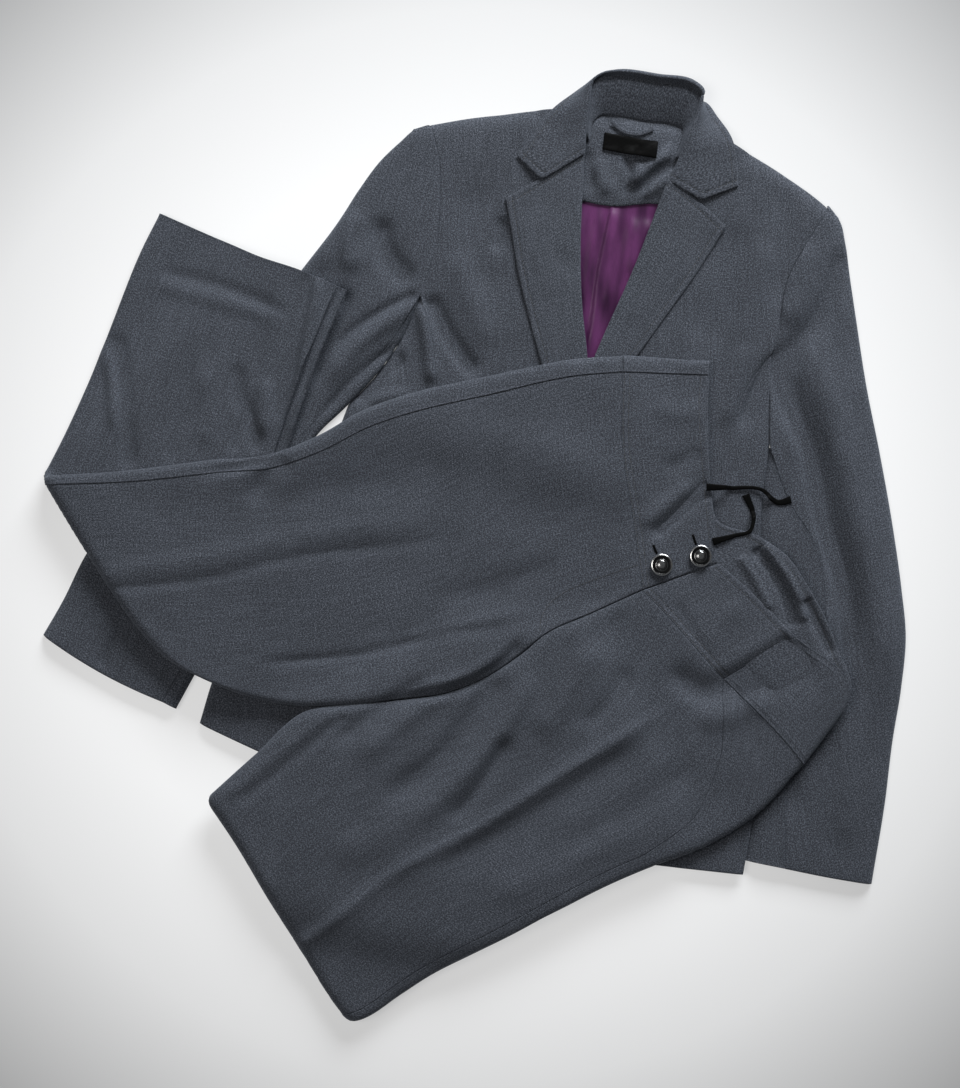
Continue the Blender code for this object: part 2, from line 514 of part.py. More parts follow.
def sleeves(below):
    """Top and under sleeves."""
    across = np.array([0, 0.04, 0.1, 0.25, 0.45, 0.65, 0.85, 1.0])
    inner = chain((RIGHT_UNDERARM, 5), (RIGHT_SLEEVE_IN, 8))
    outer = smooth(RIGHT_SLEEVE_OUT, 17)
    toward = outer[5:] - inner
    toward /= np.linalg.norm(toward, axis=1)[:, None]
    inset = SLEEVE_SEAM_INSET * np.clip(np.linspace(0, 4, 12), 0, 1)[:, None]
    seam = inner + toward * inset
    top = between(outer, np.vstack([smooth(RIGHT_ARMHOLE, 6), seam[1:]]), across, None, RIGHT_CUFF)
    height = raised(top, SLEEVE_FOLDS + BODY_FOLDS, [RIGHT_SLEEVE_OUT])
    sheet("right_top_sleeve", JACKET, blunt(top), blunt(height), maps=[below])
    grown = inner + toward * 1.3
    strip = seam[:, None] + (grown - seam)[:, None] * np.array([0, 0.5, 1])[None, :, None]
    reach = np.linalg.norm(strip - grown[:, None], axis=-1)
    middle = (BODY_LAYER + FLOOR_LAYER) / 2
    height = middle + (raised(strip, SLEEVE_FOLDS, []) - middle) * round_off(reach, 10)
    wrap("right_under_sleeve", strip, height, grown, outer[5:], below)

    inner = smooth(LEFT_SLEEVE_IN, 12)
    seam = smooth(LEFT_SLEEVE_SEAM, 12)
    outer = smooth(LEFT_SLEEVE_OUT, 20)
    top = np.vstack([smooth(LEFT_ARMHOLE, 6), smooth(LEFT_UNDERARM, 4)[1:], seam[1:]])
    top = between(top, outer, 1 - across[::-1], None, LEFT_CUFF)
    height = raised(top, SLEEVE_FOLDS + BODY_FOLDS, [LEFT_SLEEVE_OUT])
    sheet("left_top_sleeve", JACKET, blunt(top), blunt(height), maps=[below])
    strip = seam[:, None] + (inner - seam)[:, None] * np.array([0, 0.35, 0.7, 1])[None, :, None]
    reach = np.maximum(distance(strip, inner) - TUCK - 0.5, 0)
    height = TUCKED_EDGE + (raised(strip, SLEEVE_FOLDS, []) - TUCKED_EDGE) * round_off(reach, EDGE_ROLL)
    wrap("left_under_sleeve", strip, height, inner, outer[8:], below)


def blunt(rows, share=BLUNT):
    """Replaces a pointed first row by one a little further down."""
    out = rows.copy()
    out[0] = rows[0] * (1 - share) + rows[1] * share
    return out


def wrap(name, strip, height, inner, outer, below):
    """An under sleeve: it shows between the seam and the inner edge, then lies flat underneath."""
    strip, height, inner, outer = (blunt(rows, UNDER_BLUNT) for rows in (strip, height, inner, outer))
    span = outer - inner
    length = np.linalg.norm(span, axis=1)
    near = UNDER_TURN / length
    far = 1 - INSET / length
    columns = np.stack([near, near * 3, (near * 3 + far) / 2, far], axis=1)
    under = inner[:, None] + span[:, None] * columns[..., None]
    lying = np.full(under.shape[:-1], FLOOR_LAYER)
    grid = np.concatenate([strip, under], axis=1)
    placed = trimmed(place(JACKET, grid, np.concatenate([height, lying], axis=1)), "LTB")
    over, _ = cloth(name, placed, upright="LR")
    below.stamp(over)


def neck(below):
    """Lapels, collar, stand, label and hanger loop."""
    lapels = (("right", RIGHT_LAPEL_FOLD, RIGHT_LAPEL_FREE), ("left", LEFT_LAPEL_FOLD, LEFT_LAPEL_FREE))
    for side, fold, free in lapels:
        grid = between(smooth(fold, 11), smooth(free, 11), 5)
        rest = below.read(below.support(14, 4), place(JACKET, grid, 0.0))
        placed = place(JACKET, grid, rest + CLEAR + HALF + 0.4)
        over, _ = cloth(side + "_lapel", placed)
        below.stamp(over)
    roll = smooth(COLLAR_ROLL, 33)
    edge = smooth(COLLAR_EDGE, 33)
    share = np.array([0, 0.35, 0.7, 1.0])
    fall = roll[None] * (1 - share[:, None, None]) + edge[None] * share[:, None, None]
    bulge = np.interp(edge[:, 2], [1.0, 11.0], [BACK_SAG, SIDE_BULGE])
    fall[..., 2] += np.sin(np.pi * share)[:, None] * bulge
    for end, notch in ((0, RIGHT_NOTCH), (-1, LEFT_NOTCH)):
        middle = (roll[end, :2] + edge[end, :2]) / 2
        fall[:, end, :2] += (1 - abs(2 * share - 1))[:, None] * (np.array(notch) - middle)
    cloth("collar_fall", place(JACKET, fall[..., :2], fall[..., 2]), upright="")
    seam = smooth(STAND_SEAM, 21)
    top = along(smooth(COLLAR_ROLL, 120), np.linspace(*STAND_SPAN, 21))
    share = np.array([0.13, 0.36, 0.7, 1.0])
    stand = top[None] * (1 - share[:, None, None]) + seam[None] * share[:, None, None]
    stand[:2, :, 2] -= np.array([2.2, 0.8])[:, None]
    cloth("collar_stand", place(JACKET, stand[..., :2], stand[..., 2]), upright="")
    corners = np.array(LABEL_CORNERS, float)
    label = between(corners[[0, 3]], corners[[1, 2]], 5)
    on_facing = LINING_LAYER + HALF + CLEAR + THIN / 2
    cloth("neck_label", place(JACKET, label, on_facing), "satin", THIN)
    loop = place(JACKET, band(LOOP_LINE, LOOP_WIDTH, 9), on_facing)
    cloth("hanger_loop", loop, wall=THIN, upright="")


def band(line, width, count):
    """Grid of a narrow strip along a line."""
    middle = smooth(line, count)
    run = np.gradient(middle, axis=0)
    side = np.stack([-run[:, 1], run[:, 0]], axis=1) / np.linalg.norm(run, axis=1)[:, None]
    return middle[:, None] + side[:, None] * np.array([-0.5, 0.5])[None, :, None] * width


def ease(value):
    """Smooth step from 0 to 1."""
    u = np.clip(value, 0, 1)
    return u * u * (3 - 2 * u)


def gap_between(left, right, share):
    """Distance between two lines at the same shares of their lengths."""
    return np.linalg.norm(along(left, share) - along(right, share), axis=-1)


class LegPanel:
    """One cut panel of a leg, laid flat above the knee and folded under below it.

    A level of 1 puts a point on the front layer above the knee, 0 on the back layer.
    """

    def __init__(self, leg, front, strip, upper_rows=11, lower_rows=8, columns=8):
        self.leg = leg
        self.edges = [smooth(line, 240) for line in (leg.out, leg.inner, leg.low_out, leg.low_inner)]
        self.length = np.linalg.norm(np.diff(self.edges[1], axis=0), axis=1).sum()
        self.low_length = np.linalg.norm(np.diff(self.edges[3], axis=0), axis=1).sum()
        self.above = np.concatenate([np.linspace(self.length, 30, upper_rows), [KNEE_ROLL, 3.0, 0.0]])
        self.beneath = np.concatenate([[3.0, KNEE_ROLL], np.linspace(34, self.low_length, lower_rows)])
        down = 1 - self.above / self.length
        width = gap_between(self.edges[0], self.edges[1], down)
        table = np.array(leg.inset, float)
        seam = np.interp(down, table[:, 0], table[:, 1])
        joined = 1 - ease((down - CROTCH) / 0.1)
        self.share, self.level = self.across(front, strip, seam, width, joined, columns)
        width = gap_between(self.edges[2], self.edges[3], self.beneath / self.low_length)
        seam = np.full(len(width), table[-1, 1])
        parted = np.zeros(len(width))
        self.low_share, self.low_level = self.across(front, strip, seam, width, parted, columns)

    def across(self, front, strip, seam, width, joined, columns):
        """Shares of the width and levels of one panel's columns, row by row."""
        seam = (seam / width)[:, None]
        width = width[:, None]
        if front:
            spread = np.linspace(0, 1, columns)[None, :]
            middle = seam + (1 - INNER_ROLL / width - seam) * spread
            share = np.concatenate([middle, np.ones_like(seam)], axis=1)
            edge = INNER_DROP + (1 - INNER_DROP) * joined[:, None]
            return share, np.concatenate([np.ones_like(middle), edge], axis=1)
        strip = np.array(strip)[None, :] * seam
        near = OUTER_NEST / width
        under = near + (1 - near - INNER_NEST / width) * np.linspace(0, 1, columns)[None, :]
        level = 0.5 + 0.5 * round_off(strip * width, LEG_ROLL)
        flat = np.zeros_like(under)
        flat[:, 0] = 0.08
        return np.concatenate([strip, under], axis=1), np.concatenate([level, flat], axis=1)

    def upper(self):
        """Frame points above the knee, from the waist to the fold."""
        nest = KNEE_NEST * (1 - self.level) * (1 - self.above[:, None] / self.length)
        t = 1 - (self.above[:, None] + nest) / self.length
        left, right = self.edges[:2]
        ends = (left[0], right[0], left[-1], right[-1])
        return patch(along(left, t), along(right, t), self.share, t, ends, self.leg.waist, self.leg.knee)

    def lower(self):
        """Frame points below the knee, from the fold to the hem."""
        nest = KNEE_NEST * (1 - self.low_level) * (1 - self.beneath[:, None] / self.low_length)
        t = (self.beneath[:, None] + nest) / self.low_length
        left, right = self.edges[2:]
        ends = (left[0], right[0], left[-1], right[-1])
        return patch(along(left, t), along(right, t), self.low_share, t, ends, self.leg.knee, self.leg.hem)


def trousers(below):
    """Leg panels, waistband, buttons and ribbon loops."""
    names = ["trouser_right_back", "trouser_right_front", "trouser_left_back", "trouser_left_front"]
    panels = [LegPanel(RIGHT_LEG, False, [1, 0.45, 0]), LegPanel(RIGHT_LEG, True, []),
              LegPanel(LEFT_LEG, False, [1, 0.72, 0.4, 0.12, 0]), LegPanel(LEFT_LEG, True, [])]
    rest = below.support(44, 12)
    lows = []
    for panel in panels:
        grid = panel.lower()
        lift = (1 - panel.low_level) * (LOWER_RISE + folded(grid, LOWER_FOLDS))
        placed = place(TROUSERS, grid, 0.0)
        placed[..., 2] = below.read(rest, placed) + HALF + CLEAR + LAY + lift
        lows.append(placed)
    for placed in lows:
        below.stamp(placed + np.array([0, 0, HALF]))
    rest = below.support(44, 12)
    for name, panel, low in zip(names, panels, lows):
        high = upper_height(below, rest, panel.upper(), panel.level)
        middle = (high[-1, :, 2] + low[0, :, 2]) / 2
        turn = round_off(panel.above, KNEE_ROLL)[:, None]
        high[..., 2] = middle + (high[..., 2] - middle) * turn
        turn = round_off(panel.beneath, KNEE_ROLL)[:, None]
        low[..., 2] = middle + (low[..., 2] - middle) * turn
        placed = trimmed(np.concatenate([high, low]), "LRT")
        cloth(name, placed)
        below.stamp(high + np.array([0, 0, HALF]))
    waistband(below, rest, panels)
    below_buttons = below.support(12, 0)
    for name, x, y in BUTTONS:
        at = place(TROUSERS, np.array([[x, y]], float), 0.0)
        at[0, 2] = below.read(below_buttons, at)[0] + CLEAR
        button(name, at[0])
    for name, line in (("ribbon_loop_inner", RIBBON_INNER), ("ribbon_loop_outer", RIBBON_OUTER)):
        rest = below.support(10, 0)
        grid = band(line, RIBBON_WIDTH, 9)
        placed = place(TROUSERS, grid, 0.0)
        placed[..., 2] = below.read(rest, placed) + CLEAR + THIN / 2
        over, _ = cloth(name, placed, "satin", THIN, upright="")
        below.stamp(over)


def upper_height(below, rest, grid, level, rise=LEG_RISE):
    """Places points of the folded trousers above whatever they rest on."""
    placed = place(TROUSERS, grid, 0.0)
    lift = level * (rise + folded(grid, LEG_FOLDS))
    placed[..., 2] = below.read(rest, placed) + HALF + CLEAR + LAY + lift
    return placed


def ruled(top, low, share, rows):
    """Straight threads from one line to another at the given shares."""
    down = np.linspace(0, 1, rows)[:, None, None]
    return along(smooth(top, 80), share)[None] * (1 - down) + along(smooth(low, 80), share)[None] * down


def waistband(below, rest, panels):
    """Three pieces: a front band on each side and the back band that wraps round both sides."""
    rows = 4
    rise = np.linspace(BAND_RISE, LEG_RISE, rows)[:, None]
    right = panels[1].share[0]
    left = panels[3].share[0]
    for name, top, low, share in (("waistband_right_front", RIGHT_BAND_TOP, RIGHT_WAIST_SEAM, right),
                                  ("waistband_left_front", LEFT_BAND_TOP, LEFT_WAIST_SEAM, left)):
        grid = ruled(top, low, share, rows)
        placed = trimmed(upper_height(below, rest, grid, 1.0, rise))
        over, _ = cloth(name, placed)
        below.stamp(over)
    strips = []
    sides = ((panels[0], RIGHT_BAND_TOP, RIGHT_WAIST_SEAM), (panels[2], LEFT_BAND_TOP, LEFT_WAIST_SEAM))
    for panel, top, low in sides:
        edge = int(np.argmin(panel.share[0][:5] > 0))
        share = panel.share[0][:edge + 1]
        level = panel.level[0][:edge + 1]
        strips.append(upper_height(below, rest, ruled(top, low, share, rows), level, rise))
    share = np.linspace(0.012, 0.988, 13)
    under = ruled(BACK_BAND_TOP, BACK_BAND_LOW, share, rows)
    under = upper_height(below, rest, under, 0.0)
    grid = np.concatenate([strips[0], under, strips[1][:, ::-1]], axis=1)
    cloth("waistband_back", trimmed(grid))
    for placed in (*strips, under):
        below.stamp(placed + np.array([0, 0, HALF]))


def button(name, at):
    """A round metal button turned from its profile."""
    turns = 18
    points = []
    for share, height in BUTTON_PROFILE[1:]:
        for k in range(turns):
            angle = 2 * math.pi * k / turns
            reach = share * BUTTON_RADIUS
            points.append(at + np.array([reach * math.cos(angle), reach * math.sin(angle), height]))
    rings = len(BUTTON_PROFILE) - 1
    points.append((at[0], at[1], at[2] + BUTTON_PROFILE[0][1]))
    points.append((at[0], at[1], at[2]))
    top = len(points) - 2
    faces = []
    for k in range(turns):
        after = (k + 1) % turns
        for ring in range(rings - 1):
            a = ring * turns
            faces.append((a + k, a + turns + k, a + turns + after, a + after))
        faces.append((top, k, after))
        faces.append((top + 1, (rings - 1) * turns + after, (rings - 1) * turns + k))
    solid(name, np.array(points), faces, "button_metal")


def main():
    for old in list(bpy.data.objects):
        bpy.data.objects.remove(old, do_unlink=True)
    below = HeightMap()
    jacket_body(below)
    sleeves(below)
    neck(below)
    trousers(below)
    centre()


def centre():
    """Moves every piece so that the suit stands over the origin."""
    points = np.array([v.co for piece in made for v in piece.data.vertices])
    low = points.min(axis=0)
    high = points.max(axis=0)
    shift = np.array([(low[0] + high[0]) / 2, (low[1] + high[1]) / 2, low[2]])
    for piece in made:
        for vertex in piece.data.vertices:
            vertex.co = vertex.co - type(vertex.co)(shift)


main()
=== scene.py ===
"""Looks of the charcoal trouser suit: cloth shells with creases, seams, stitching, satin and buttons.

Sizes are millimetres. Each garment has its own frame, as in the part: x runs across it, y runs down
it from the neck or the waist. The wearer's right side is on the negative side of x.
"""
import math
from collections import namedtuple

import bpy
import numpy as np
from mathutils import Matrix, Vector


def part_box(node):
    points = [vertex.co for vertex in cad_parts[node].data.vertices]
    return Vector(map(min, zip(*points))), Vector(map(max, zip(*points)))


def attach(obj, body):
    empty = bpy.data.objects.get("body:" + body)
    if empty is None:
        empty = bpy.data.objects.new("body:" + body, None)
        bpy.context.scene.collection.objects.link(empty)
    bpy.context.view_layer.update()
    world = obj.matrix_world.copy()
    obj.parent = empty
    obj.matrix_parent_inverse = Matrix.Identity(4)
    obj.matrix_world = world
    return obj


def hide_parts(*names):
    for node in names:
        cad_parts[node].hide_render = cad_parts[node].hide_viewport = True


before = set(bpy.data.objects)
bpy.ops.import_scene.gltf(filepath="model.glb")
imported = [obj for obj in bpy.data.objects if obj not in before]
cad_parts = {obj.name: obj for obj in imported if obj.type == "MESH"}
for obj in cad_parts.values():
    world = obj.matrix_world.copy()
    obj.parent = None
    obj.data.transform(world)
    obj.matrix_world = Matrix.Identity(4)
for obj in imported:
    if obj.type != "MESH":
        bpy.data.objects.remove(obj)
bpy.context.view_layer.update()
MM = 0.001

# Cloth
WALL = 1.6            # thickness of a cut piece
HALF = WALL / 2
THIN = 1.0            # thickness of ribbon, loop and label
LINING_WALL = 0.8     # thickness of the lining
RIM_BULGE = 0.2       # how far a cut edge is rounded out, as a share of its thickness
LEAST_SHEET = 10.0    # the area of a narrower strip is not worked out
LEAST_AREA = 0.31     # a sheet's area is stated as at least this share of its width by its length
SEAM = 0.12           # each piece stops this far short of its seam line
CLEAR = 0.3           # air between layers that rest on each other
STEP = 4.0            # spacing of the threads of a shell that shows
COARSE = 9.0          # the same where it is hidden
FINER = 10            # rows between two rows of the part's solids

# Heights of the middle of the cloth above the surface the suit lies on
FLOOR_LAYER = HALF
LINING_LAYER = WALL + CLEAR + HALF
BODY_LAYER = 8.0      # fronts and sleeves, away from their edges
EDGE_LAYER = 1.1      # where an outer edge rolls down to the surface
EDGE_ROLL = 16.0      # width of that roll
LAPPED_EDGE = 6.0     # the left side edge of the body, which laps over the sleeve
TUCKED_EDGE = 2.6     # the sleeve's inner edge under it
TUCK = 3.0            # how far it reaches under
UNDER_TURN = 3.0      # width in which an under sleeve turns underneath
UNDER_ROLL = 10.0     # width in which the right one rolls down towards its inner edge
UNDER_GAP = 0.15      # how far that edge stands in from the body
UNDER_COLUMNS = 14    # threads of an under sleeve that lie underneath
UNDER_CROWD = 1.5     # how much closer together they lie near the turn
BLUNT = 0.3           # share of the first row cut off where a piece runs to a point
UNDER_BLUNT = 0.15    # the same for an under sleeve
INSET = 5.0           # the hidden layer stops this far inside the rolled edge
UNDERARM_COVER = 4.0  # how far the back reaches past the side seams below the armholes
# On each side: the row where the inset starts, the rows it takes, and the cover's middle and spread
BACK_EDGES = ((64, 8, 54, 12), (110, 8, 78, 24))
FOLD_POINTS = 18      # points along the line of a fold
EDGE_POINTS = 60      # and along an outer edge
CREASE_SQUARE = 0.6   # how much the ridge of a pressed crease is rounded, squared, and its root
CREASE_ROOT = 0.77
FADE_START = 0.15     # how far into its fade a fold already is at its very end
RIPPLE = 0.6          # faint unevenness of the cloth
LOWER_RIPPLE = 0.4    # the same below the knee
RIPPLE_WAVES = 6
RIPPLE_SEED = 7

# Back neck facing and lining
FACING_RISE = 3.2     # how far the crumpled neck facing stands off the lining
FACING_DIP = 2.6      # how deep its valleys go
FACING_RIPPLE = (0.25, 25, 60)    # size, shortest and longest wave
UNDER_STAND = 1.9     # the neck facing passes this far under the lower edge of the stand
STAND_REACH = 7.0     # width in which it goes down there
FACING_LOW_RISE = 1.3  # how far its lower edge stands off the lining
FACING_LOW_REACH = 8.0
LINING_UNDER = 5      # how far the lining reaches up under the facing
LINING_DROP = 0.4
LINING_FOLDS_START = (4, 16)      # the folds rise from this far above the facing's edge, over this length
LINING_FOLDS_END = (215, 60)      # and fade from here, over this length
LINING_START = 110    # the left front clears the lining from here down
LEFT_LAP = (-2.2, 45)  # how far the left front sinks where the fronts lap, and how wide
RIGHT_LAP = (1.2, 60)  # the same for the right front, which rises

# Trouser legs
LEG_RISE = 7.6        # from the back layer up to the front layer
LOWER_RISE = 4.2      # the same below the knee, pressed flatter
LEG_ROLL = 9.0        # width of the rounded side of a leg
KNEE_ROLL = 10.0      # width of the rounded knee fold
KNEE_THREADS = [7.5, 5.0, 3.0, 1.6, 0.7, 0.0]    # how far the threads round it lie from it
KNEE_NEST = 9.0       # the inner layer turns this far inside the outer one
INNER_DROP = 0.3      # how high the inside leg edge stays, as a share of the rise
INNER_ROLL = 10.0     # width of that drop
OUTER_NEST = 3.0      # where the back layer starts in from the outer edge, and ends at the inner one
INNER_NEST = 10.0
CROTCH = 0.22         # share of the way to the knee at which the legs part
PARTING = 0.1         # share of the way over which they do
RIGHT_STRIP = (9, 1.5)            # threads of a back panel that show, and how they crowd to its edge
LEFT_STRIP = (22, 1.3)
TURN_LEVEL = 0.08     # the cloth next to that edge, underneath, is still this much raised
TURN_THREADS = 1.5    # and sinks over so many threads
LAY = 0.5             # extra air where one garment rests on another
LOWEST_LIFT = 2.0     # a valley of the front layer stops this far above the back layer
INSIDE_RISE = 3.4     # how far the inside of the back waistband stands off what it rests on

# Height map used to rest one garment on another
CELL = 4.0
MAP_HALF_X = 440.0
MAP_HALF_Y = 480.0

Frame = namedtuple("Frame", "origin_x origin_y turn")
JACKET = Frame(161.4, 419.4, 14.1)
TROUSERS = Frame(224.6, -14.9, 64.7)

# Jacket lines, each from the neck end down to the hem end
RIGHT_ARMHOLE = [(-189, 76), (-174, 105), (-164, 139), (-157, 193), (-160, 232)]
RIGHT_UNDERARM = [(-160, 232), (-168, 278), (-184, 318), (-200, 346)]
RIGHT_PRINCESS = [(-160, 232), (-144, 260), (-124, 313), (-106, 395), (-98, 498), (-107, 606),
                  (-121, 693)]
RIGHT_SIDE = [(-200, 346), (-205, 385), (-219, 447), (-242, 536), (-260, 625), (-262, 667)]
RIGHT_ROLL = [(-49, 28), (-50, 52), (-46, 74), (-39, 109), (-29, 155), (-13, 211), (2, 251), (22, 330)]
RIGHT_EDGE = [(22, 330), (22, 478), (23, 602), (26, 703)]
LEFT_ARMHOLE = [(188, 62), (175, 101), (167, 134), (170, 190), (169, 206)]
LEFT_UNDERARM = [(169, 206), (178, 248), (188, 289)]
LEFT_PRINCESS = [(169, 206), (155, 238), (151, 303), (148, 369), (158, 463), (178, 573), (203, 688)]
LEFT_SIDE = [(188, 289), (191, 319), (213, 430), (233, 521), (256, 617), (261, 680)]
LEFT_ROLL = [(45, 10), (46, 40), (38, 82), (27, 168), (13, 245), (1, 330)]
LEFT_EDGE = [(1, 330), (-10, 380), (-12, 478), (-12, 602), (-12, 703)]
RIGHT_HEM = [(-262, 667), (-200, 679), (-121, 693)]
RIGHT_FRONT_HEM = [(-121, 693), (-52, 702), (26, 703)]
LEFT_FRONT_HEM = [(-12, 703), (92, 701), (203, 688)]
LEFT_HEM = [(203, 688), (261, 680)]
RIGHT_SHOULDER = [(-189, 76), (-155, 61), (-128, 51), (-84, 35.5), (-49, 28)]
LEFT_SHOULDER = [(45, 12), (95, 27.5), (141, 42), (180, 58), (188, 62)]
BACK_TOP = [(-187, 83), (-155, 67), (-128, 57), (-84, 42), (-49, 33), (-20, 28), (20, 26), (45, 25),
            (95, 33), (141, 48), (186, 68)]
RIGHT_TURNED = [(-189, 76), (-155, 61), (-128, 51), (-98, 40.5)]    # where the shoulder edge rolls down
LEFT_TURNED = [(105, 31), (141, 42), (188, 62)]
BACK_HEM = [(-262, 664), (-121, 689), (0, 699), (203, 684), (261, 676)]

# Sleeves: outer edges, hidden inner edges and the seam that shows
RIGHT_SLEEVE_OUT = [(-190, 76), (-202, 83), (-212, 97), (-226, 119), (-239, 150), (-250, 183),
                    (-272, 234), (-304, 308), (-346, 407), (-383, 491), (-403, 542), (-413, 588),
                    (-423, 623)]
RIGHT_SLEEVE_IN = [(-200, 346), (-221, 380), (-235, 429), (-253, 513), (-272, 601), (-287, 659)]
LEFT_SLEEVE_OUT = [(186, 58), (201, 70), (211, 89), (223.5, 120), (238, 155), (262, 212), (289, 269),
                   (319, 336), (340, 388), (354, 428), (362, 478), (366, 526), (373, 582), (379.5, 660)]
LEFT_SLEEVE_SEAM = [(188, 289), (214, 330), (257, 375), (275, 425), (287, 507), (281, 586), (297, 665)]
LEFT_SLEEVE_IN = [(185, 289), (188, 319), (210, 430), (230, 521), (253, 617), (258, 667)]
RIGHT_CUFF = [(-423, 623), (-384, 637), (-362, 643.5), (-323, 652), (-299.6, 655.7)]
LEFT_CUFF = [(297, 665), (332, 663.5), (379.5, 660)]
SLEEVE_SEAM_INSET = 13.0

# Lapels: fold side and free side, from the notch down
RIGHT_LAPEL_FREE = [(-105, 126), (-96, 146), (-78, 188), (-56, 230), (-37, 264), (-4, 318), (18, 334)]
RIGHT_LAPEL_FOLD = [(-46, 76)] + RIGHT_ROLL[3:]
LEFT_LAPEL_FREE = [(99, 102), (83, 151), (66, 194), (49, 237), (21, 305), (5, 334)]
LEFT_LAPEL_FOLD = LEFT_ROLL[2:]
RIGHT_LAPEL_TOP = [(-46, 69), (-62, 83), (-77, 99), (-105, 126)]    # tucked under the collar
LEFT_LAPEL_TOP = [(38, 73), (54, 78), (72, 87), (99, 102)]

# Collar, round the neck from the right front to the left front: x, y and height
COLLAR_ROLL = [(-46, 71, 13.5), (-51, 46, 16), (-54, 22, 19), (-54, 3, 20), (-46, -6, 19.5),
               (-38, -9.5, 19), (4, -15.5, 18), (38, -17, 19), (46, -13, 19.5), (49, 7, 20),
               (46, 29, 19), (44, 50, 16), (39, 75, 13.5)]
COLLAR_EDGE = [(-104, 86, 10.3), (-95, 61, 10.3), (-82, 34, 10.2), (-70, 18.5, 5), (-58, 6, 2),
               (-40, 6, 1.1), (4, 6, 1.0), (36, 2, 1.1), (52, -7, 2), (68, 5, 5), (85, 22, 10.2),
               (95, 43, 10.3), (101, 63, 10.3)]
RIGHT_NOTCH = (-77, 102)
LEFT_NOTCH = (71, 84)
STAND_SEAM = [(-43, 56, 8.6), (-44, 38, 7.0), (-38, 29, 4.6), (-26, 26.0, 3.4), (4, 23.6, 3.1),
              (28, 20.6, 3.4), (38, 22, 4.6), (40, 34, 7.0), (38, 52, 8.6)]
STAND_SPAN = (0.1, 0.9)    # share of the collar that the stand reaches
STAND_ROWS = [0.05, 0.1, 0.16, 0.22, 0.3, 0.4, 0.55, 0.7, 0.85, 1.0]
STAND_DROP = [(0.05, 4.6), (0.1, 4.2), (0.22, 2.2), (0.4, 0.8), (0.7, 0.0)]    # below the fall's roll
BACK_SAG = -5.2            # how the fall bows behind the neck, and over the shoulders
SIDE_BULGE = 1.5
NOTCH_THREADS = 12         # threads of the fall that bend at a notch
LAPEL_TURN = (3.2, 1.2)    # how far a folded edge goes down, and how far out it bows
FALL_TURN = (3.4, 2.6)
TURN_ANGLES = [85, 60, 35, 15]
LAPEL_LIFT = 0.4
LAPEL_COLUMNS = 24
LAPEL_SUPPORT = (14, 4)    # how far a lapel bridges what it lies on, and how softly

# Back neck
FACING_TOP = [(-44, 24), (-26, 20.4), (4, 18.0), (28, 15.0), (41, 17)]    # tucked under the stand
FACING_RIGHT = [(-44, 24), (-60, 60), (-64, 110)]
FACING_LEFT = [(41, 17), (58, 50), (62, 97)]
FACING_LOW = [(-64, 110), (-7, 108), (33, 96), (62, 97)]
LINING_RIGHT = [(-64, 110), (-120, 190), (-150, 300), (-180, 420), (-215, 540), (-236, 640)]
LINING_LEFT = [(62, 97), (120, 170), (150, 290), (180, 420), (212, 540), (235, 640)]
LINING_LOW = [(-236, 640), (0, 676), (235, 640)]
LINING_PLEAT = [(-7, 110), (-8, 137), (-4, 177), (2, 255)]
LAP_LINE = [(7, 255), (8, 330), (6, 478), (6, 703)]
LABEL_CORNERS = [(-31, 44), (19, 41), (21, 57), (-29, 60)]
LOOP_LINE = [(-27, 32), (-18, 38), (0, 38), (12, 30)]
LOOP_WIDTH = 4.0
LOOP_ARCH = 1.2
NEAR = (6, 0)         # the same reach and softness for a small piece as LEG_SUPPORT for the trousers

# Trouser lines, from the waist seam down to the knee fold
RIGHT_LEG_OUT = [(-210, -2), (-226, 38), (-246, 116), (-259, 171), (-266, 232), (-263, 286),
                 (-268, 334), (-284, 380), (-310, 458), (-339, 530)]
RIGHT_LEG_IN = [(-8, 74), (-9, 125), (-10, 171), (-2, 203), (3, 240), (1, 274), (-13, 319), (-32, 372),
                (-52, 414), (-82, 451), (-112, 478)]
RIGHT_WAIST_SEAM = [(-210, -2), (-137, 34), (-61, 57), (-8, 74)]
RIGHT_KNEE = [(-339, 530), (-314, 527.5), (-270, 523), (-216, 516), (-172, 508), (-138, 496), (-112, 478)]
LEFT_LEG_OUT = [(202, 9), (226, 70), (231, 120), (225, 180), (223.5, 220), (225, 277), (227, 318),
                (228, 360), (230, 402), (234.5, 435), (240, 477), (238, 490)]
LEFT_LEG_IN = [(-7, 74), (-8, 125), (-9, 171), (-1, 203), (4, 240), (2, 274), (-11, 319), (-29, 366),
               (-39, 399), (-23, 460), (-5, 520)]
LEFT_WAIST_SEAM = [(202, 9), (184, 13), (94, 43), (4, 70), (-7, 74)]
LEFT_KNEE = [(238, 490), (205, 496), (173, 499.5), (108, 507), (43, 513), (-5, 520)]

# Below the knee, from the fold to the hem
RIGHT_LOW_OUT = [(-339, 530), (-369, 492), (-402, 454), (-436, 417), (-464, 388), (-491, 358),
                 (-515, 327)]
RIGHT_LOW_IN = [(-112, 478), (-166, 411), (-272, 308), (-325, 256), (-375, 200)]
RIGHT_LEG_HEM = [(-515, 327), (-485, 301), (-462, 281), (-439, 261), (-411, 232), (-375, 200)]
LEFT_LOW_OUT = [(238, 490), (214, 400), (210, 328), (204, 190)]
LEFT_LOW_IN = [(-5, 520), (8, 420), (16, 325), (22, 190)]
LEFT_LEG_HEM = [(204, 190), (22, 190)]

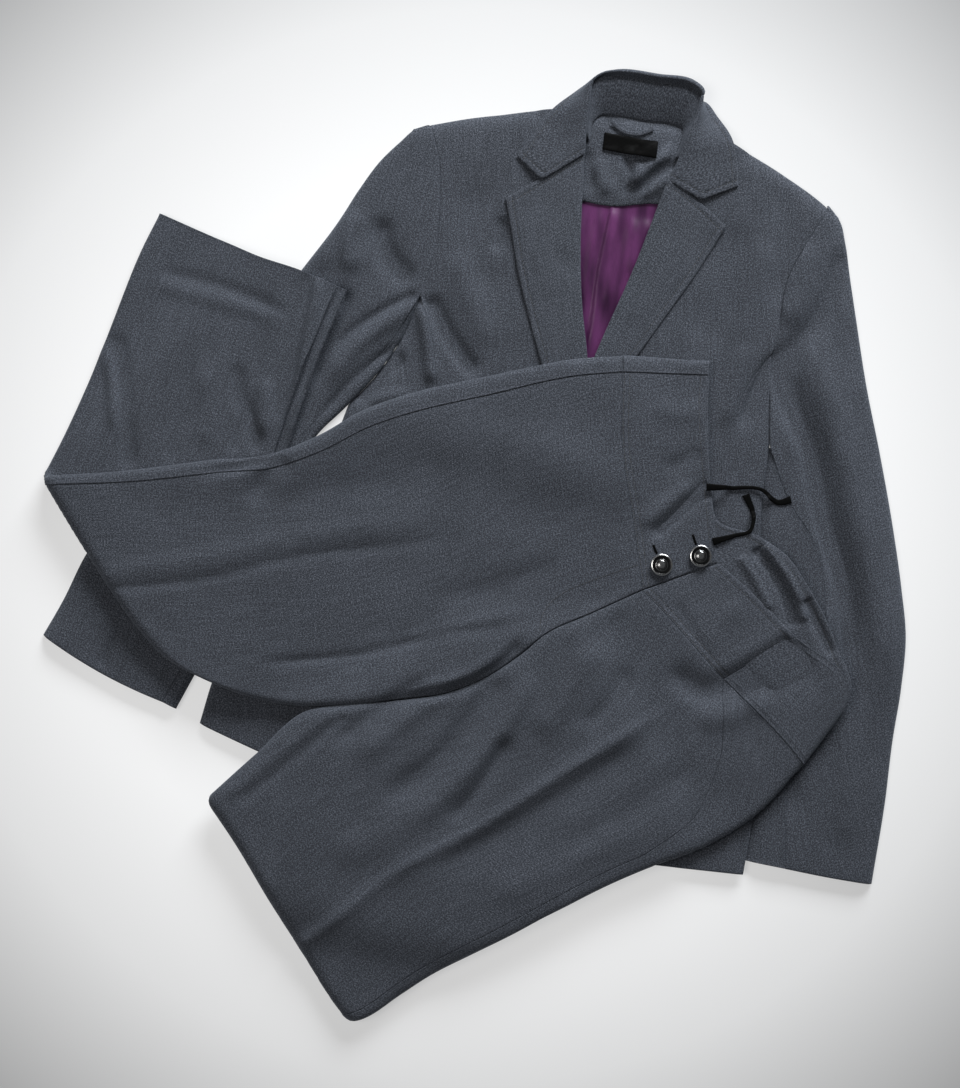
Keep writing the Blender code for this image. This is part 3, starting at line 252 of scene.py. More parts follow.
# How far the outside seam lies in from the outer edge: share of the way to the knee, distance
RIGHT_SEAM_INSET = [(0.0, 15), (0.3, 18), (0.6, 13), (1.0, 9)]
LEFT_SEAM_INSET = [(0.0, 108), (0.1, 66), (0.22, 30), (0.35, 13), (1.0, 9)]

# Waistband edges, from the outer side to the front opening
RIGHT_BAND_TOP = [(-172, -72), (-140, -53), (-91, -33), (-42, -15), (-1, 0)]
LEFT_BAND_TOP = [(174, -43), (156, -59), (88, -34), (40, -17), (1, -1)]
BACK_BAND_TOP = [(-172, -72), (-120, -46), (-60, -22), (-38, -16), (-7, -44), (21, -60), (53, -65),
                 (90, -67), (120, -65), (156, -61), (174, -43)]
BACK_BAND_LOW = [(-210, -5), (-137, 29), (-61, 51), (-7, 66), (94, 36), (184, 7), (202, 4)]
BAND_RISE = 5.0       # how high the band's top edge lies; its seam lies as high as the leg
BAND_ROWS = 44
BACK_BAND_SPAN = (0.012, 0.988)   # share of its width that the back band's hidden part takes up
BACK_BAND_COLUMNS = 180
INSIDE_FADE = 0.3     # share of the band, next to its seam, over which its inside grows flat
LEG_SUPPORT = (44, 12)            # how far the trousers bridge what they rest on, and how softly

# Creases and folds: the line, its half width on the negative and positive side of x where the
# line runs down, its height, down when negative, whether it is pressed sharp, and how it fades in and out
Fold = namedtuple("Fold", "line left right height sharp fade_in fade_out", defaults=(False, 0.25, 0.25))
BODY_FOLDS = [
    Fold([(-153, 232), (-127, 264), (-94, 292)], 4.68, 7.8, -11, False, 0.1, 0.1),
    Fold([(-161, 236), (-145, 268), (-130, 308)], 6.24, 5.46, 5.4, False, 0.2, 0.1),
    Fold([(-157, 291), (-174, 303), (-184, 326), (-192, 344)], 7.02, 7.8, -9.8),
    Fold([(-146, 324), (-167, 331), (-184, 342)], 5.46, 5.46, 3.9),
    Fold([(-103, 142), (-102, 160), (-102, 177)], 7.02, 7.02, -4.5),
    Fold([(-139, 183), (-114, 224), (-85, 265)], 12.5, 12.5, 3),
    Fold([(-133, 114), (-124, 169), (-102, 221)], 14, 14, -2.4),
    Fold([(168, 204), (160, 242), (157, 281)], 3.9, 7.8, -4.5),
    Fold([(144, 198), (143, 236), (142, 284)], 7.02, 7.02, 3.6),
    Fold([(107, 92), (109, 159), (104, 217)], 14, 14, -3.3),
    Fold([(138, 103), (140, 160), (136, 209)], 12.5, 12.5, 2.7),
    Fold([(147, 44), (152, 100), (163, 164)], 10.9, 10.9, -3),
]
SLEEVE_FOLDS = [
    Fold([(-225, 240), (-233, 274), (-238, 303), (-240, 340)], 9.36, 9.36, -6.8),
    Fold([(-164, 231), (-187, 251), (-215, 282), (-229, 313)], 3.9, 4.68, -4.8, False, 0.05, 0.3),
    Fold([(-160, 238), (-180, 261), (-205, 291), (-225, 336)], 7.02, 7.02, 5.1),
    Fold([(-166, 277), (-192, 308), (-225, 368)], 3.9, 4.68, -4.5),
    Fold([(-208, 168), (-207, 188), (-194, 208), (-166, 223)], 10.9, 9.36, -6.3),
    Fold([(-243, 169), (-241, 196), (-225, 228)], 9.36, 12.5, 4.5),
    Fold([(-250, 143), (-257, 193), (-254, 235)], 10.9, 10.9, 4.5),
    Fold([(-349, 594), (-358, 616), (-364, 639)], 3.12, 4.68, -3.9, True, 0.3, 0.1),
    Fold([(-342, 560), (-344, 531), (-340, 511)], 7.8, 7.8, -3.8),
    Fold([(168, 201), (188, 242), (218, 281), (251, 347), (292, 419), (309, 481)],
         5.46, 18.7, -8.4, False, 0.05, 0.2),
    Fold([(188, 168), (229, 234), (262, 293), (298, 361), (331, 439), (351, 510)], 18.7, 18.7, 8.1),
    Fold([(213, 94), (205, 159), (181, 210)], 10.9, 12.5, -6.6, False, 0.2, 0.05),
    Fold([(175, 94), (177, 141), (177, 180)], 10.9, 10.9, 3.9),
    Fold([(274, 510), (278, 567), (297, 620)], 9.36, 9.36, -3.3),
    Fold([(324, 517), (332, 582), (349, 635)], 10.9, 10.9, 2.4),
    Fold([(272, 415), (290, 468), (292, 525)], 7.02, 7.02, 3.6),
]
FACING_FOLDS = [
    Fold([(44, 49), (26, 69), (10, 94)], 3.6, 4.5, -6.1, False, 0.05, 0.2),
    Fold([(38, 44), (19, 63), (4, 86)], 6.3, 3.6, 6.1, False, 0.1, 0.2),
    Fold([(45, 63), (28, 80), (16, 96)], 4.5, 5.4, 4.3, False, 0.1, 0.2),
    Fold([(-7, 63), (0, 71), (1, 98)], 2.7, 4.5, -4),
    Fold([(1, 61), (6, 69), (5, 89)], 4.5, 4.5, 3.2),
    Fold([(-36, 26), (-24, 39)], 3.6, 5.4, -3.2),
    Fold([(-32, 69), (-21, 89), (-12, 99)], 6.3, 6.3, 2.9),
    Fold([(-43, 63), (-37, 87), (-30, 104)], 5.4, 7.2, -3.2),
]
LINING_FOLDS = [
    Fold([(-7, 108), (-6, 137), (-4, 177), (1, 215), (3, 262)], 1.6, 9, 3.4, False, 0, 0),
    Fold([(-17, 108), (-16, 150), (-10, 210)], 6, 4, 2.2),
    Fold([(14, 108), (15, 140), (9, 175), (9, 205)], 5, 9, 3.2),
    Fold([(30, 108), (25, 135), (22, 165)], 5, 7, 2.4),
    Fold([(-36, 116), (-30, 160), (-20, 220)], 6, 6, 2.6),
]
PLEAT_OVER = [Fold(LINING_PLEAT, 9, 9, 2.2)]    # the pleat as the left front lies over it
LAPEL_FOLDS = [
    Fold([(-47, 163), (-36, 169), (-24, 175)], 5.4, 4.5, -3.9, False, 0.3, 0.05),
    Fold([(-81, 130), (-64, 170), (-41, 209)], 18, 18, 1.3),
    Fold([(69, 76), (55, 83), (41, 81)], 5.4, 7.2, -2.1, False, 0.2, 0.1),
    Fold([(64, 119), (50, 167), (37, 215)], 14.4, 14.4, 1.2),
]
LEG_FOLDS = [
    Fold([(-224, 532), (-217, 514), (-184, 417), (-175, 366), (-140, 259), (-120, 196)],
         3, 6.75, -2.7, True, 0, 0.3),
    Fold([(-229, 505), (-201, 409), (-179, 312), (-146, 215)], 19.5, 9, 2.4, False, 0, 0.3),
    Fold([(-281, 402), (-266, 345), (-266, 294), (-263, 252)], 5.25, 6.75, -4.8, False, 0.3, 0.3),
    Fold([(-258, 314), (-249, 344), (-231, 366)], 9, 10.5, -6, False, 0.2, 0.4),
    Fold([(-321, 379), (-298, 328), (-282, 264)], 4.5, 6.75, -3.6),
    Fold([(-217, 192), (-173, 120), (-124, 61)], 22.5, 22.5, 2.4),
    Fold([(-230, 371), (-215, 296), (-182, 218)], 16.5, 16.5, -2.4),
    Fold([(-12, 340), (-10, 308), (1, 256), (-1, 222), (-12, 192)], 3.75, 6.75, -6.3, False, 0.2, 0.1),
    Fold([(-18, 327), (-12, 289), (-7, 244), (-14, 210)], 4.5, 3.75, 4.8),
    Fold([(-97, 423), (-60, 318), (-47, 246), (-28, 197)], 3, 4.5, -3, False, 0.2, 0.2),
    Fold([(-59, 293), (-44, 218), (-36, 174)], 5.25, 5.25, 2.7),
    Fold([(-83, 255), (-67, 190), (-65, 130)], 12, 10.5, -2.7),
    Fold([(3, 162), (-2, 129), (-3, 87)], 9, 9, 2.4),
    Fold([(100, 93), (106, 158), (114, 230), (125, 314), (127, 373), (152, 494)],
         3, 6.75, 5.1, True, 0.2, 0),
    Fold([(118, 124), (127, 200), (136, 276), (143, 362)], 7.5, 19.5, -3.6, False, 0.2, 0.2),
    Fold([(2, 223), (30, 261), (51, 304), (66, 377)], 10.5, 12, -6.9, False, 0.15, 0.3),
    Fold([(18, 198), (49, 237), (77, 300), (99, 359)], 9, 9, 4.8, False, 0.15, 0.3),
    Fold([(59, 242), (85, 275), (111, 324)], 6.75, 6.75, -6, False, 0.2, 0.2),
    Fold([(-7, 260), (8, 325), (23, 381)], 9, 9, 3.9),
    Fold([(-19, 287), (-11, 348), (0, 395)], 6.75, 8.25, -4.5),
    Fold([(17, 131), (55, 191), (72, 223)], 13.5, 13.5, 3.6),
    Fold([(50, 114), (70, 140), (85, 180)], 10.5, 10.5, -3.9),
    Fold([(65, 83), (103, 65), (108, 26), (103, -32)], 9, 15, -6.9, False, 0.2, 0.05),
    Fold([(122, 83), (132, 46), (131, 4)], 10.5, 10.5, 3.6),
    Fold([(-22, 368), (-6, 425), (10, 494)], 2.5, 3.75, -3, False, 0.05, 0.1),
    Fold([(-29, 377), (-17, 430), (1, 501)], 3, 2.5, 2.7, False, 0.05, 0.1),
    Fold([(88, 439), (95, 380), (81, 322)], 16.5, 16.5, 2.7),
    Fold([(179, 245), (169, 158), (159, 92)], 13.5, 13.5, -2.7),
    Fold([(190, 332), (189, 250), (186, 166)], 13.5, 13.5, 2.1),
]
BAND_FOLDS = [
    Fold([(-48, 46), (-54, 20), (-63, -7), (-65, -24)], 5.6, 7.2, -5, False, 0.2, 0.05),
    Fold([(-60, 50), (-68, 24), (-78, -10)], 7.2, 6.4, 3.1),
    Fold([(-100, 10), (-99, -14), (-101, -31)], 7.2, 7.2, -2),
    Fold([(-155, -5), (-139, -29), (-139, -49)], 9.6, 9.6, 1.7),
    Fold([(82, -36), (86, 4), (90, 43)], 7.2, 8.8, 1.7, False, 0.1, 0.1),
    Fold([(111, -42), (117, 4), (118, 49)], 17.6, 20.8, -5.3, False, 0.2, 0.2),
    Fold([(41, -5), (49, 19), (67, 48)], 9.6, 9.6, 1.7),
    Fold([(14, 52), (46, 48), (69, 43)], 5.6, 5.6, -1.7),
]
INSIDE_FOLDS = [
    Fold([(2, -36), (32, -41), (63, -40), (84, -36)], 4, 6, -5.9, False, 0.05, 0.1),
    Fold([(3, -46), (34, -52), (65, -53), (84, -50)], 4, 4, 3.9, False, 0.05, 0.1),
    Fold([(3, -21), (34, -25), (60, -25)], 4, 4, 3.1, False, 0.05, 0.1),
    Fold([(63, -57), (94, -57), (122, -58)], 5, 6, -4.4, False, 0.05, 0.1),
]
LOWER_FOLDS = [
    Fold([(-430, 415), (-390, 426), (-343, 444), (-312, 455)], 3.4, 7.65, -6.1, False, 0.1, 0.05),
    Fold([(-425, 426), (-387, 436), (-346, 451)], 5.1, 4.25, 3.7),
    Fold([(-399, 325), (-371, 358), (-301, 418)], 2.5, 2.98, -2.7, True, 0.25, 0.05),
    Fold([(-355, 324), (-330, 334), (-300, 335), (-275, 341)], 4.25, 5.95, -7.1, False, 0.15, 0.1),
    Fold([(-311, 339), (-283, 363)], 3.4, 5.1, -3.7),
    Fold([(-402, 229), (-359, 260), (-321, 287), (-290, 312)], 9.35, 5.1, -8.2, False, 0.2, 0.3),
    Fold([(-395, 218), (-345, 256), (-275, 309)], 4.25, 4.25, 4.4, False, 0.1, 0.05),
    Fold([(-469, 356), (-425, 304), (-369, 254)], 4.25, 5.95, -2.4),
    Fold([(-460, 365), (-413, 310), (-376, 268)], 5.95, 5.95, 2),
    Fold([(-333, 305), (-309, 316), (-286, 331)], 7.65, 7.65, 3.7),
    Fold([(-367, 349), (-330, 362), (-298, 385)], 10.2, 10.2, 2.7),
]

# Buttons and ribbon loops
BUTTONS = [("waist_button_outer", -21, 48), ("waist_button_inner", -13, 12)]
BUTTON_RADIUS = 9.8
BUTTON_TURNS = 64     # points round it
BUTTON_RINGS = 48     # and down its profile
BUTTONHOLES = [("buttonhole_outer", [(-41, 47), (-32, 47.5)]), ("buttonhole_inner", [(-34, 10), (-24, 11)])]
FLY_STITCH = [(-12, 176), (-22, 171), (-32, 158), (-36, 143), (-36, 120), (-33, 90), (-30, 66)]
BUTTONHOLE_WIDTH = 2.2
BUTTONHOLE_WALL = 0.5
BUTTONHOLE_LIFT = 0.2
BUTTON_PROFILE = [(0.0, 3.5), (0.2, 3.4), (0.38, 2.9), (0.5, 1.9), (0.6, 1.5), (0.74, 1.6), (0.81, 2.9),
                  (0.88, 3.4), (0.95, 3.2), (1.0, 1.8), (0.94, 0.6), (0.6, 0.0)]
RIBBON_WIDTH = 7.0    # at its ends
RIBBON_WAIST = 0.45   # share of that width at its middle
RIBBON_OUTER = [(-68, -20), (-58, -40), (-44, -66), (-26, -76), (-24, -87)]
RIBBON_INNER = [(-20, -4), (-16, -27), (-14, -38), (-26, -49), (-46, -51)]

Leg = namedtuple("Leg", "out inner waist knee low_out low_inner hem inset")
RIGHT_LEG = Leg(RIGHT_LEG_OUT, RIGHT_LEG_IN, RIGHT_WAIST_SEAM, RIGHT_KNEE,
                RIGHT_LOW_OUT, RIGHT_LOW_IN, RIGHT_LEG_HEM, RIGHT_SEAM_INSET)
LEFT_LEG = Leg(LEFT_LEG_OUT, LEFT_LEG_IN, LEFT_WAIST_SEAM, LEFT_KNEE,
               LEFT_LOW_OUT, LEFT_LOW_IN, LEFT_LEG_HEM, LEFT_SEAM_INSET)

# Stage: the photograph is 960 pixels wide, looks straight down, and a pixel is 0.93 mm of the surface
PHOTO_WIDTH = 960
PIXEL = 0.93
PHOTO_MIDDLE = (5.1, 2.8)       # the middle of the photograph, in the part's own coordinates
CAMERA_HEIGHT = 1900.0
SENSOR = 36.0
FLOOR_SIZE = 6000.0
FLOOR_DROP = 0.5      # the floor lies this far under the suit
WORLD_LIGHT = 0.13
WORLD_COLOUR = (0.93, 0.965, 1.0, 1)
# Name, position and size in metres, power in watts and tint
LIGHTS = [("window", (1.0, 2.8, 1.4), (2.0, 1.2), 185.0, (0.94, 0.97, 1.0)),
          ("room", (-1.3, 0.0, 2.4), (1.2, 1.2), 22.0, (1.0, 0.97, 0.94))]

# How the edges of a shell are finished: how far they turn down, and where they are stitched
Edge = namedtuple("Edge", "drop stitches", defaults=((),))
Shell = namedtuple("Shell", "piece over side left right top bottom")
SEAMED = Edge(0.4)
FLAT_SEAM = Edge(0.2)
PLAIN = Edge(0.35)
TOPSTITCHED = Edge(0.4, (6.0,))
TWIN_STITCHED = Edge(0.4, (1.6, 6.4))
ROLL_MARKS = (0.8, 2.4)
ROLL_SHARE = 0.35     # share of its turn that an edge keeps at the first of those distances
GROOVE = 0.38         # depth of the groove that a row of stitches pulls into the cloth
GROOVE_REACH = 0.9
LOWEST_FOLD = 3.4     # a valley stops here, clear of the layer underneath
STITCH = 2.6
STITCH_PITCH = 3.3
STITCH_RINGS = [(0.0, -0.25, 0.6), (0.18, 0.12, 1.0), (0.5, 0.22, 1.0), (0.82, 0.12, 1.0),
                (1.0, -0.25, 0.6)]    # share of its length, lift and thickness
THREAD = 0.3          # radius of the sewing thread

made = {}


def run_of(line):
    """How far along a line each of its points lies."""
    steps = np.linalg.norm(np.diff(line, axis=0), axis=1)
    return np.concatenate([[0.0], np.cumsum(steps)])


def smooth(points, count):
    """Evenly spaced points on a smooth line through the given ones."""
    given = np.asarray(points, float)
    run = run_of(given[:, :2])
    slope = np.gradient(given, run, axis=0)
    wanted = np.linspace(0, run[-1], count)
    i = np.clip(np.searchsorted(run, wanted, side="right") - 1, 0, len(given) - 2)
    span = (run[i + 1] - run[i])[:, None]
    u = (wanted - run[i])[:, None] / span
    start = (2 * u**3 - 3 * u**2 + 1) * given[i] + (u**3 - 2 * u**2 + u) * span * slope[i]
    end = (3 * u**2 - 2 * u**3) * given[i + 1] + (u**3 - u**2) * span * slope[i + 1]
    return start + end


def rows(points, count):
    """A smooth line with the part's row spacing made finer."""
    return smooth(points, (count - 1) * FINER + 1)


def chain(*runs):
    """Joins smooth lines end to end; each run is (points, count) and shares its first point."""
    lines = [rows(points, count) for points, count in runs]
    return np.vstack([lines[0]] + [line[1:] for line in lines[1:]])


def along(line, share):
    """Points at the given shares of a line's length; share may be an array of any shape."""
    run = run_of(line)
    at = np.clip(share, 0, 1) * run[-1]
    return np.stack([np.interp(at, run, line[:, k]) for k in range(line.shape[1])], axis=-1)


def patch(left, right, s, t, ends, top=None, bottom=None):
    """Fills the area between two edges; s runs across, t runs down, ends are the four corners."""
    s = np.broadcast_to(s, np.broadcast_shapes(np.shape(s), np.shape(t)))
    t = np.broadcast_to(t, s.shape)
    across = s[..., None]
    down = t[..., None]
    grid = left * (1 - across) + right * across
    if top is not None:
        flat = ends[0] * (1 - across) + ends[1] * across
        grid = grid + (1 - down) * (along(smooth(top, 120), s) - flat)
    if bottom is not None:
        flat = ends[2] * (1 - across) + ends[3] * across
        grid = grid + down * (along(smooth(bottom, 120), s) - flat)
    return grid


def between(left, right, columns=None, top=None, bottom=None):
    """A panel between two edges that have the same number of points."""
    if columns is None:
        columns = int(np.linalg.norm(right - left, axis=1).max() / STEP) + 2
    s = np.asarray(columns) if np.ndim(columns) else np.linspace(0, 1, columns)
    t = np.linspace(0, 1, len(left))[:, None]
    ends = (left[0], right[0], left[-1], right[-1])
    return patch(left[:, None], right[:, None], s if s.ndim > 1 else s[None, :], t, ends, top, bottom)


def reach_to(points, line):
    """Distance from each point to a line, how far along it that is, and on which side."""
    best = np.full(points.shape[:-1], 1e9)
    where = np.zeros(points.shape[:-1])
    side = np.ones(points.shape[:-1])
    for k, (a, b) in enumerate(zip(line[:-1], line[1:])):
        d = b - a
        offset = points - a
        u = np.clip((offset * d).sum(-1) / max((d * d).sum(), 1e-9), 0, 1)
        gap = np.linalg.norm(offset - u[..., None] * d, axis=-1)
        turn = d[0] * offset[..., 1] - d[1] * offset[..., 0]
        near = gap < best
        best = np.where(near, gap, best)
        where = np.where(near, (k + u) / (len(line) - 1), where)
        side = np.where(near, np.where(turn > 0, -1.0, 1.0), side)
    return best, where, side


def distance(points, line):
    """Distance from each point to a line of straight pieces."""
    return reach_to(points, line)[0]


def ease(value):
    """Smooth step from 0 to 1."""
    u = np.clip(value, 0, 1)
    return u * u * (3 - 2 * u)


def round_off(reach, radius):
    """Quarter-round rise from 0 at an edge to 1 at the given distance."""
    return np.sqrt(np.clip(1 - (1 - np.clip(reach / radius, 0, 1)) ** 2, 0, 1))


def folded(points, folds):
    """Height that the creases and folds add at each point."""
    total = np.zeros(points.shape[:-1])
    for fold in folds:
        reach, where, side = reach_to(points, smooth(fold.line, FOLD_POINTS))
        width = np.where(side < 0, fold.left, fold.right)
        if fold.sharp:
            shape = np.exp(-(np.sqrt(reach**2 + CREASE_SQUARE) - CREASE_ROOT) / width)
        else:
            shape = np.exp(-(reach / width) ** 2)
        if fold.fade_in:
            shape = shape * ease(where / fold.fade_in + FADE_START)
        if fold.fade_out:
            shape = shape * ease((1 - where) / fold.fade_out + FADE_START)
        total += fold.height * shape
    return total


def ripple(points, size, lowest=45.0, highest=150.0):
    """Faint unevenness of soft cloth: a few random waves, the same on either side of a seam."""
    rng = np.random.default_rng(RIPPLE_SEED)
    total = np.zeros(points.shape[:-1])
    for _ in range(RIPPLE_WAVES):
        angle = rng.uniform(0, math.pi)
        length = rng.uniform(lowest, highest)
        phase = rng.uniform(0, 2 * math.pi)
        run = points[..., 0] * math.cos(angle) + points[..., 1] * math.sin(angle)
        total += np.sin(2 * math.pi * run / length + phase)
    return total * size / 3


def raised(grid, folds, edges, low=EDGE_LAYER):
    """Height of a top layer: full height with its folds, rolled down at its outer edges."""
    reach = np.full(grid.shape[:-1], 1e3)
    for edge in edges:
        reach = np.minimum(reach, distance(grid, smooth(edge, EDGE_POINTS)))
    height = np.maximum(BODY_LAYER + folded(grid, folds) + ripple(grid, RIPPLE), LOWEST_FOLD)
    return low + (height - low) * round_off(reach, EDGE_ROLL)


def place(garment, grid, height):
    """Turns garment points and heights into points on the shared surface."""
    turn = math.radians(garment.turn)
    x = grid[..., 0]
    y = grid[..., 1]
    across = garment.origin_x + x * math.cos(turn) - y * math.sin(turn)
    down = garment.origin_y - x * math.sin(turn) - y * math.cos(turn)
    return np.stack([across, down, np.broadcast_to(height, x.shape)], axis=-1)


def blunt(grid, share=BLUNT):
    """Replaces a pointed first row by one a little further down."""
    out = grid.copy()
    out[0] = grid[0] * (1 - share) + grid[1] * share
    return out


class HeightMap:
    """Highest point reached so far over a square grid of the surface."""

    def __init__(self):
        self.columns = int(2 * MAP_HALF_X / CELL) + 1
        self.rows = int(2 * MAP_HALF_Y / CELL) + 1
        self.height = np.zeros((self.rows, self.columns))

    def stamp(self, grid):
        """Records the upper face of a piece, on the cells all round each of its points."""
        more = int(max(np.linalg.norm(np.diff(grid, axis=k), axis=-1).max() for k in (0, 1)) / 3) + 1
        for axis in (0, 1):
            old = np.arange(grid.shape[axis])
            new = np.linspace(0, old[-1], old[-1] * more + 1)
            low = np.minimum(new.astype(int), old[-1] - 1)
            share = (new - low).reshape((-1, 1, 1) if axis == 0 else (1, -1, 1))
            grid = np.take(grid, low, axis) * (1 - share) + np.take(grid, low + 1, axis) * share
        column = ((grid[..., 0] + MAP_HALF_X) / CELL).round().astype(int)
        row = ((grid[..., 1] + MAP_HALF_Y) / CELL).round().astype(int)
        np.maximum.at(self.height, (row.ravel(), column.ravel()), grid[..., 2].ravel())

    def support(self, spread, soften):
        """A smooth surface that clears everything within the spread."""
        out = self.height
        for size, combine in ((int(spread / CELL) + 1, np.max), (int(soften / CELL), np.mean)):
            for axis in (0, 1) if combine is np.max else (0, 1, 0, 1):
                pad = [(size, size) if k == axis else (0, 0) for k in (0, 1)]
                wide = np.pad(out, pad, mode="edge")
                span = range(2 * size + 1)
                length = out.shape[axis]
                out = combine([np.take(wide, range(k, k + length), axis) for k in span], axis=0)
        return out

    def read(self, surface, grid):
        """Height of a surface at the placed points."""
        x = np.clip((grid[..., 0] + MAP_HALF_X) / CELL, 0, self.columns - 1.001)
        y = np.clip((grid[..., 1] + MAP_HALF_Y) / CELL, 0, self.rows - 1.001)
        column = x.astype(int)
        row = y.astype(int)
        u = x - column
        v = y - row
        near = surface[row, column] * (1 - u) + surface[row, column + 1] * u
        far = surface[row + 1, column] * (1 - u) + surface[row + 1, column + 1] * u
        return near * (1 - v) + far * v


def marks(edge):
    """Distances in from an edge where its shell needs a thread, and how deep each is pulled in."""
    found = {0.0: edge.drop, ROLL_MARKS[0]: edge.drop * ROLL_SHARE, ROLL_MARKS[1]: 0.0}
    for stitch in edge.stitches:
        found.setdefault(stitch - GROOVE_REACH, 0.0)
        found.setdefault(stitch + GROOVE_REACH, 0.0)
        found[stitch] = GROOVE
    return sorted(found.items())


def respaced(grid, near, far, step):
    """Spaces each row's threads anew: close together at its two edges, even between."""
    steps = np.linalg.norm(np.diff(grid, axis=1), axis=-1)
    lengths = steps.sum(axis=1)
    count = max(int(lengths.max() / step), 3)
    first = np.array([d for d, _ in marks(near)])
    last = np.array([d for d, _ in marks(far)])
    out = []
    for row, gaps, length in zip(grid, steps, lengths):
        run = np.concatenate([[0.0], np.cumsum(gaps)])
        scale = min(1.0, 0.7 * length / (first[-1] + last[-1]))
        middle = np.linspace(first[-1] * scale, length - last[-1] * scale, count + 2)[1:-1]
        at = np.concatenate([first * scale, middle, length - last[::-1] * scale])
        out.append(np.stack([np.interp(at, run, row[:, k]) for k in range(3)], axis=-1))
    sink = np.concatenate([[s for _, s in marks(near)], np.zeros(count), [s for _, s in marks(far)][::-1]])
    return np.array(out), sink


def normals(grid):
    """Unit normals of a grid of points, facing up on most of it."""
    across = np.gradient(grid, axis=1)
    down = np.gradient(grid, axis=0)
    normal = np.cross(across, down)
    normal /= np.maximum(np.linalg.norm(normal, axis=-1, keepdims=True), 1e-9)
    return normal * (-1.0 if normal[..., 2].sum() < 0 else 1.0)


def pulled_back(grid):
    """Moves the borders back from their seam lines."""
    out = grid.copy()
    for edge, inner in ((np.s_[:, 0], np.s_[:, 1]), (np.s_[:, -1], np.s_[:, -2]),
                        (np.s_[0, :], np.s_[1, :]), (np.s_[-1, :], np.s_[-2, :])):
        pull = (grid[inner] - grid[edge])[..., :2]
        length = np.maximum(np.linalg.norm(pull, axis=-1, keepdims=True), 1e-6)
        out[edge][..., :2] += pull / length * np.minimum(SEAM, length * 0.3)
    return out


def shell(name, grid, slot="suiting", wall=WALL, edges=None, step=STEP, grain=None, replaces=None, maps=()):
    """A cloth shell whose wall is centred on a grid of placed points, with finished edges.

    edges gives the finish of the left, right, top and bottom edge. Returns the upper face.
    """
    left, right, top, bottom = edges or (SEAMED,) * 4
    grid, sink_across = respaced(pulled_back(grid), left, right, step)
    grid, sink_down = respaced(grid.transpose(1, 0, 2), top, bottom, step)
    grid = grid.transpose(1, 0, 2)
    side = normals(grid)
    grid = grid - side * np.maximum(sink_across[None, :], sink_down[:, None])[..., None]
    over = grid + side * wall / 2
    under = grid - side * wall / 2
    count = over.shape[0] * over.shape[1]
    index = np.arange(count).reshape(over.shape[:2])
    ring = np.concatenate([index[0, :-1], index[:-1, -1], index[-1, :0:-1], index[:0:-1, 0]])
    flat_over = over.reshape(-1, 3)
    flat_under = under.reshape(-1, 3)
    middle = grid[1:-1, 1:-1].reshape(-1, 3).mean(axis=0)
    rim = (flat_over[ring] + flat_under[ring]) / 2
    rim = rim + outward(rim, middle) * wall * RIM_BULGE
    corners = (index[:-1, :-1], index[:-1, 1:], index[1:, 1:], index[1:, :-1])
    quads = np.stack(corners, axis=-1).reshape(-1, 4)
    after = np.roll(np.arange(len(ring)), -1)
    place_of = 2 * count + np.arange(len(ring))
    wall_over = np.stack([ring[after], ring, place_of, place_of[after]], axis=-1)
    wall_under = np.stack([place_of[after], place_of, ring + count, ring[after] + count], axis=-1)
    faces = np.concatenate([quads, quads[:, ::-1] + count, wall_over, wall_under]).tolist()
    weave = grain_of(grid, grain).reshape(-1, 2)
    uv = np.concatenate([weave, weave, weave[ring]])
    piece = mesh_piece(name, np.concatenate([flat_over, flat_under, rim]), faces, slot, uv)
    declare(grid)
    for node in [name] if replaces is None else replaces:
        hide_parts(node)
    for height_map in maps:
        height_map.stamp(over)
    made[name] = Shell(piece, over, side, marks(left), marks(right), marks(top), marks(bottom))
    return over


def outward(rim, middle):
    """Level directions away from the middle, square to a closed rim."""
    run = np.roll(rim, -1, axis=0) - np.roll(rim, 1, axis=0)
    square = np.stack([run[:, 1], -run[:, 0], np.zeros(len(run))], axis=-1)
    square /= np.maximum(np.linalg.norm(square, axis=-1, keepdims=True), 1e-9)
    spin = np.cross((rim - middle)[:, :2], run[:, :2]).sum()
    return square * (1.0 if spin > 0 else -1.0)


def grain_of(grid, grain):
    """Where each point lies on the uncut cloth, in metres: across and along its threads."""
    if grain is None:
        across = np.linalg.norm(np.diff(grid, axis=1), axis=-1).cumsum(axis=1)
        across = np.concatenate([np.zeros((len(grid), 1)), across], axis=1)
        across = across - across[:, across.shape[1] // 2][:, None]
        down = np.linalg.norm(np.diff(grid, axis=0), axis=-1).mean(axis=1).cumsum()
        down = np.concatenate([[0.0], down])[:, None] + np.zeros_like(across)
        return np.stack([across, down], axis=-1) * MM
    turn = math.radians(grain)
    x = grid[..., 0] * math.cos(turn) - grid[..., 1] * math.sin(turn)
    y = grid[..., 0] * math.sin(turn) + grid[..., 1] * math.cos(turn)
    return np.stack([x, y], axis=-1) * MM


def mesh_piece(name, points, faces, slot, uv):
    """One piece of the object, from points in millimetres; it rides with the suit."""
    mesh = bpy.data.meshes.new(name)
    mesh.from_pydata(((points - SHIFT) * MM).tolist(), [], faces)
    layer = mesh.uv_layers.new(name="grain")
    corners = np.zeros(len(mesh.loops), int)
    mesh.loops.foreach_get("vertex_index", corners)
    layer.data.foreach_set("uv", uv[corners].ravel())
    mesh.validate()
    mesh.shade_smooth()
    mesh.materials.append(materials[slot])
    piece = bpy.data.objects.new(name + "_look", mesh)
    bpy.context.scene.collection.objects.link(piece)
    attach(piece, "root")
    return piece


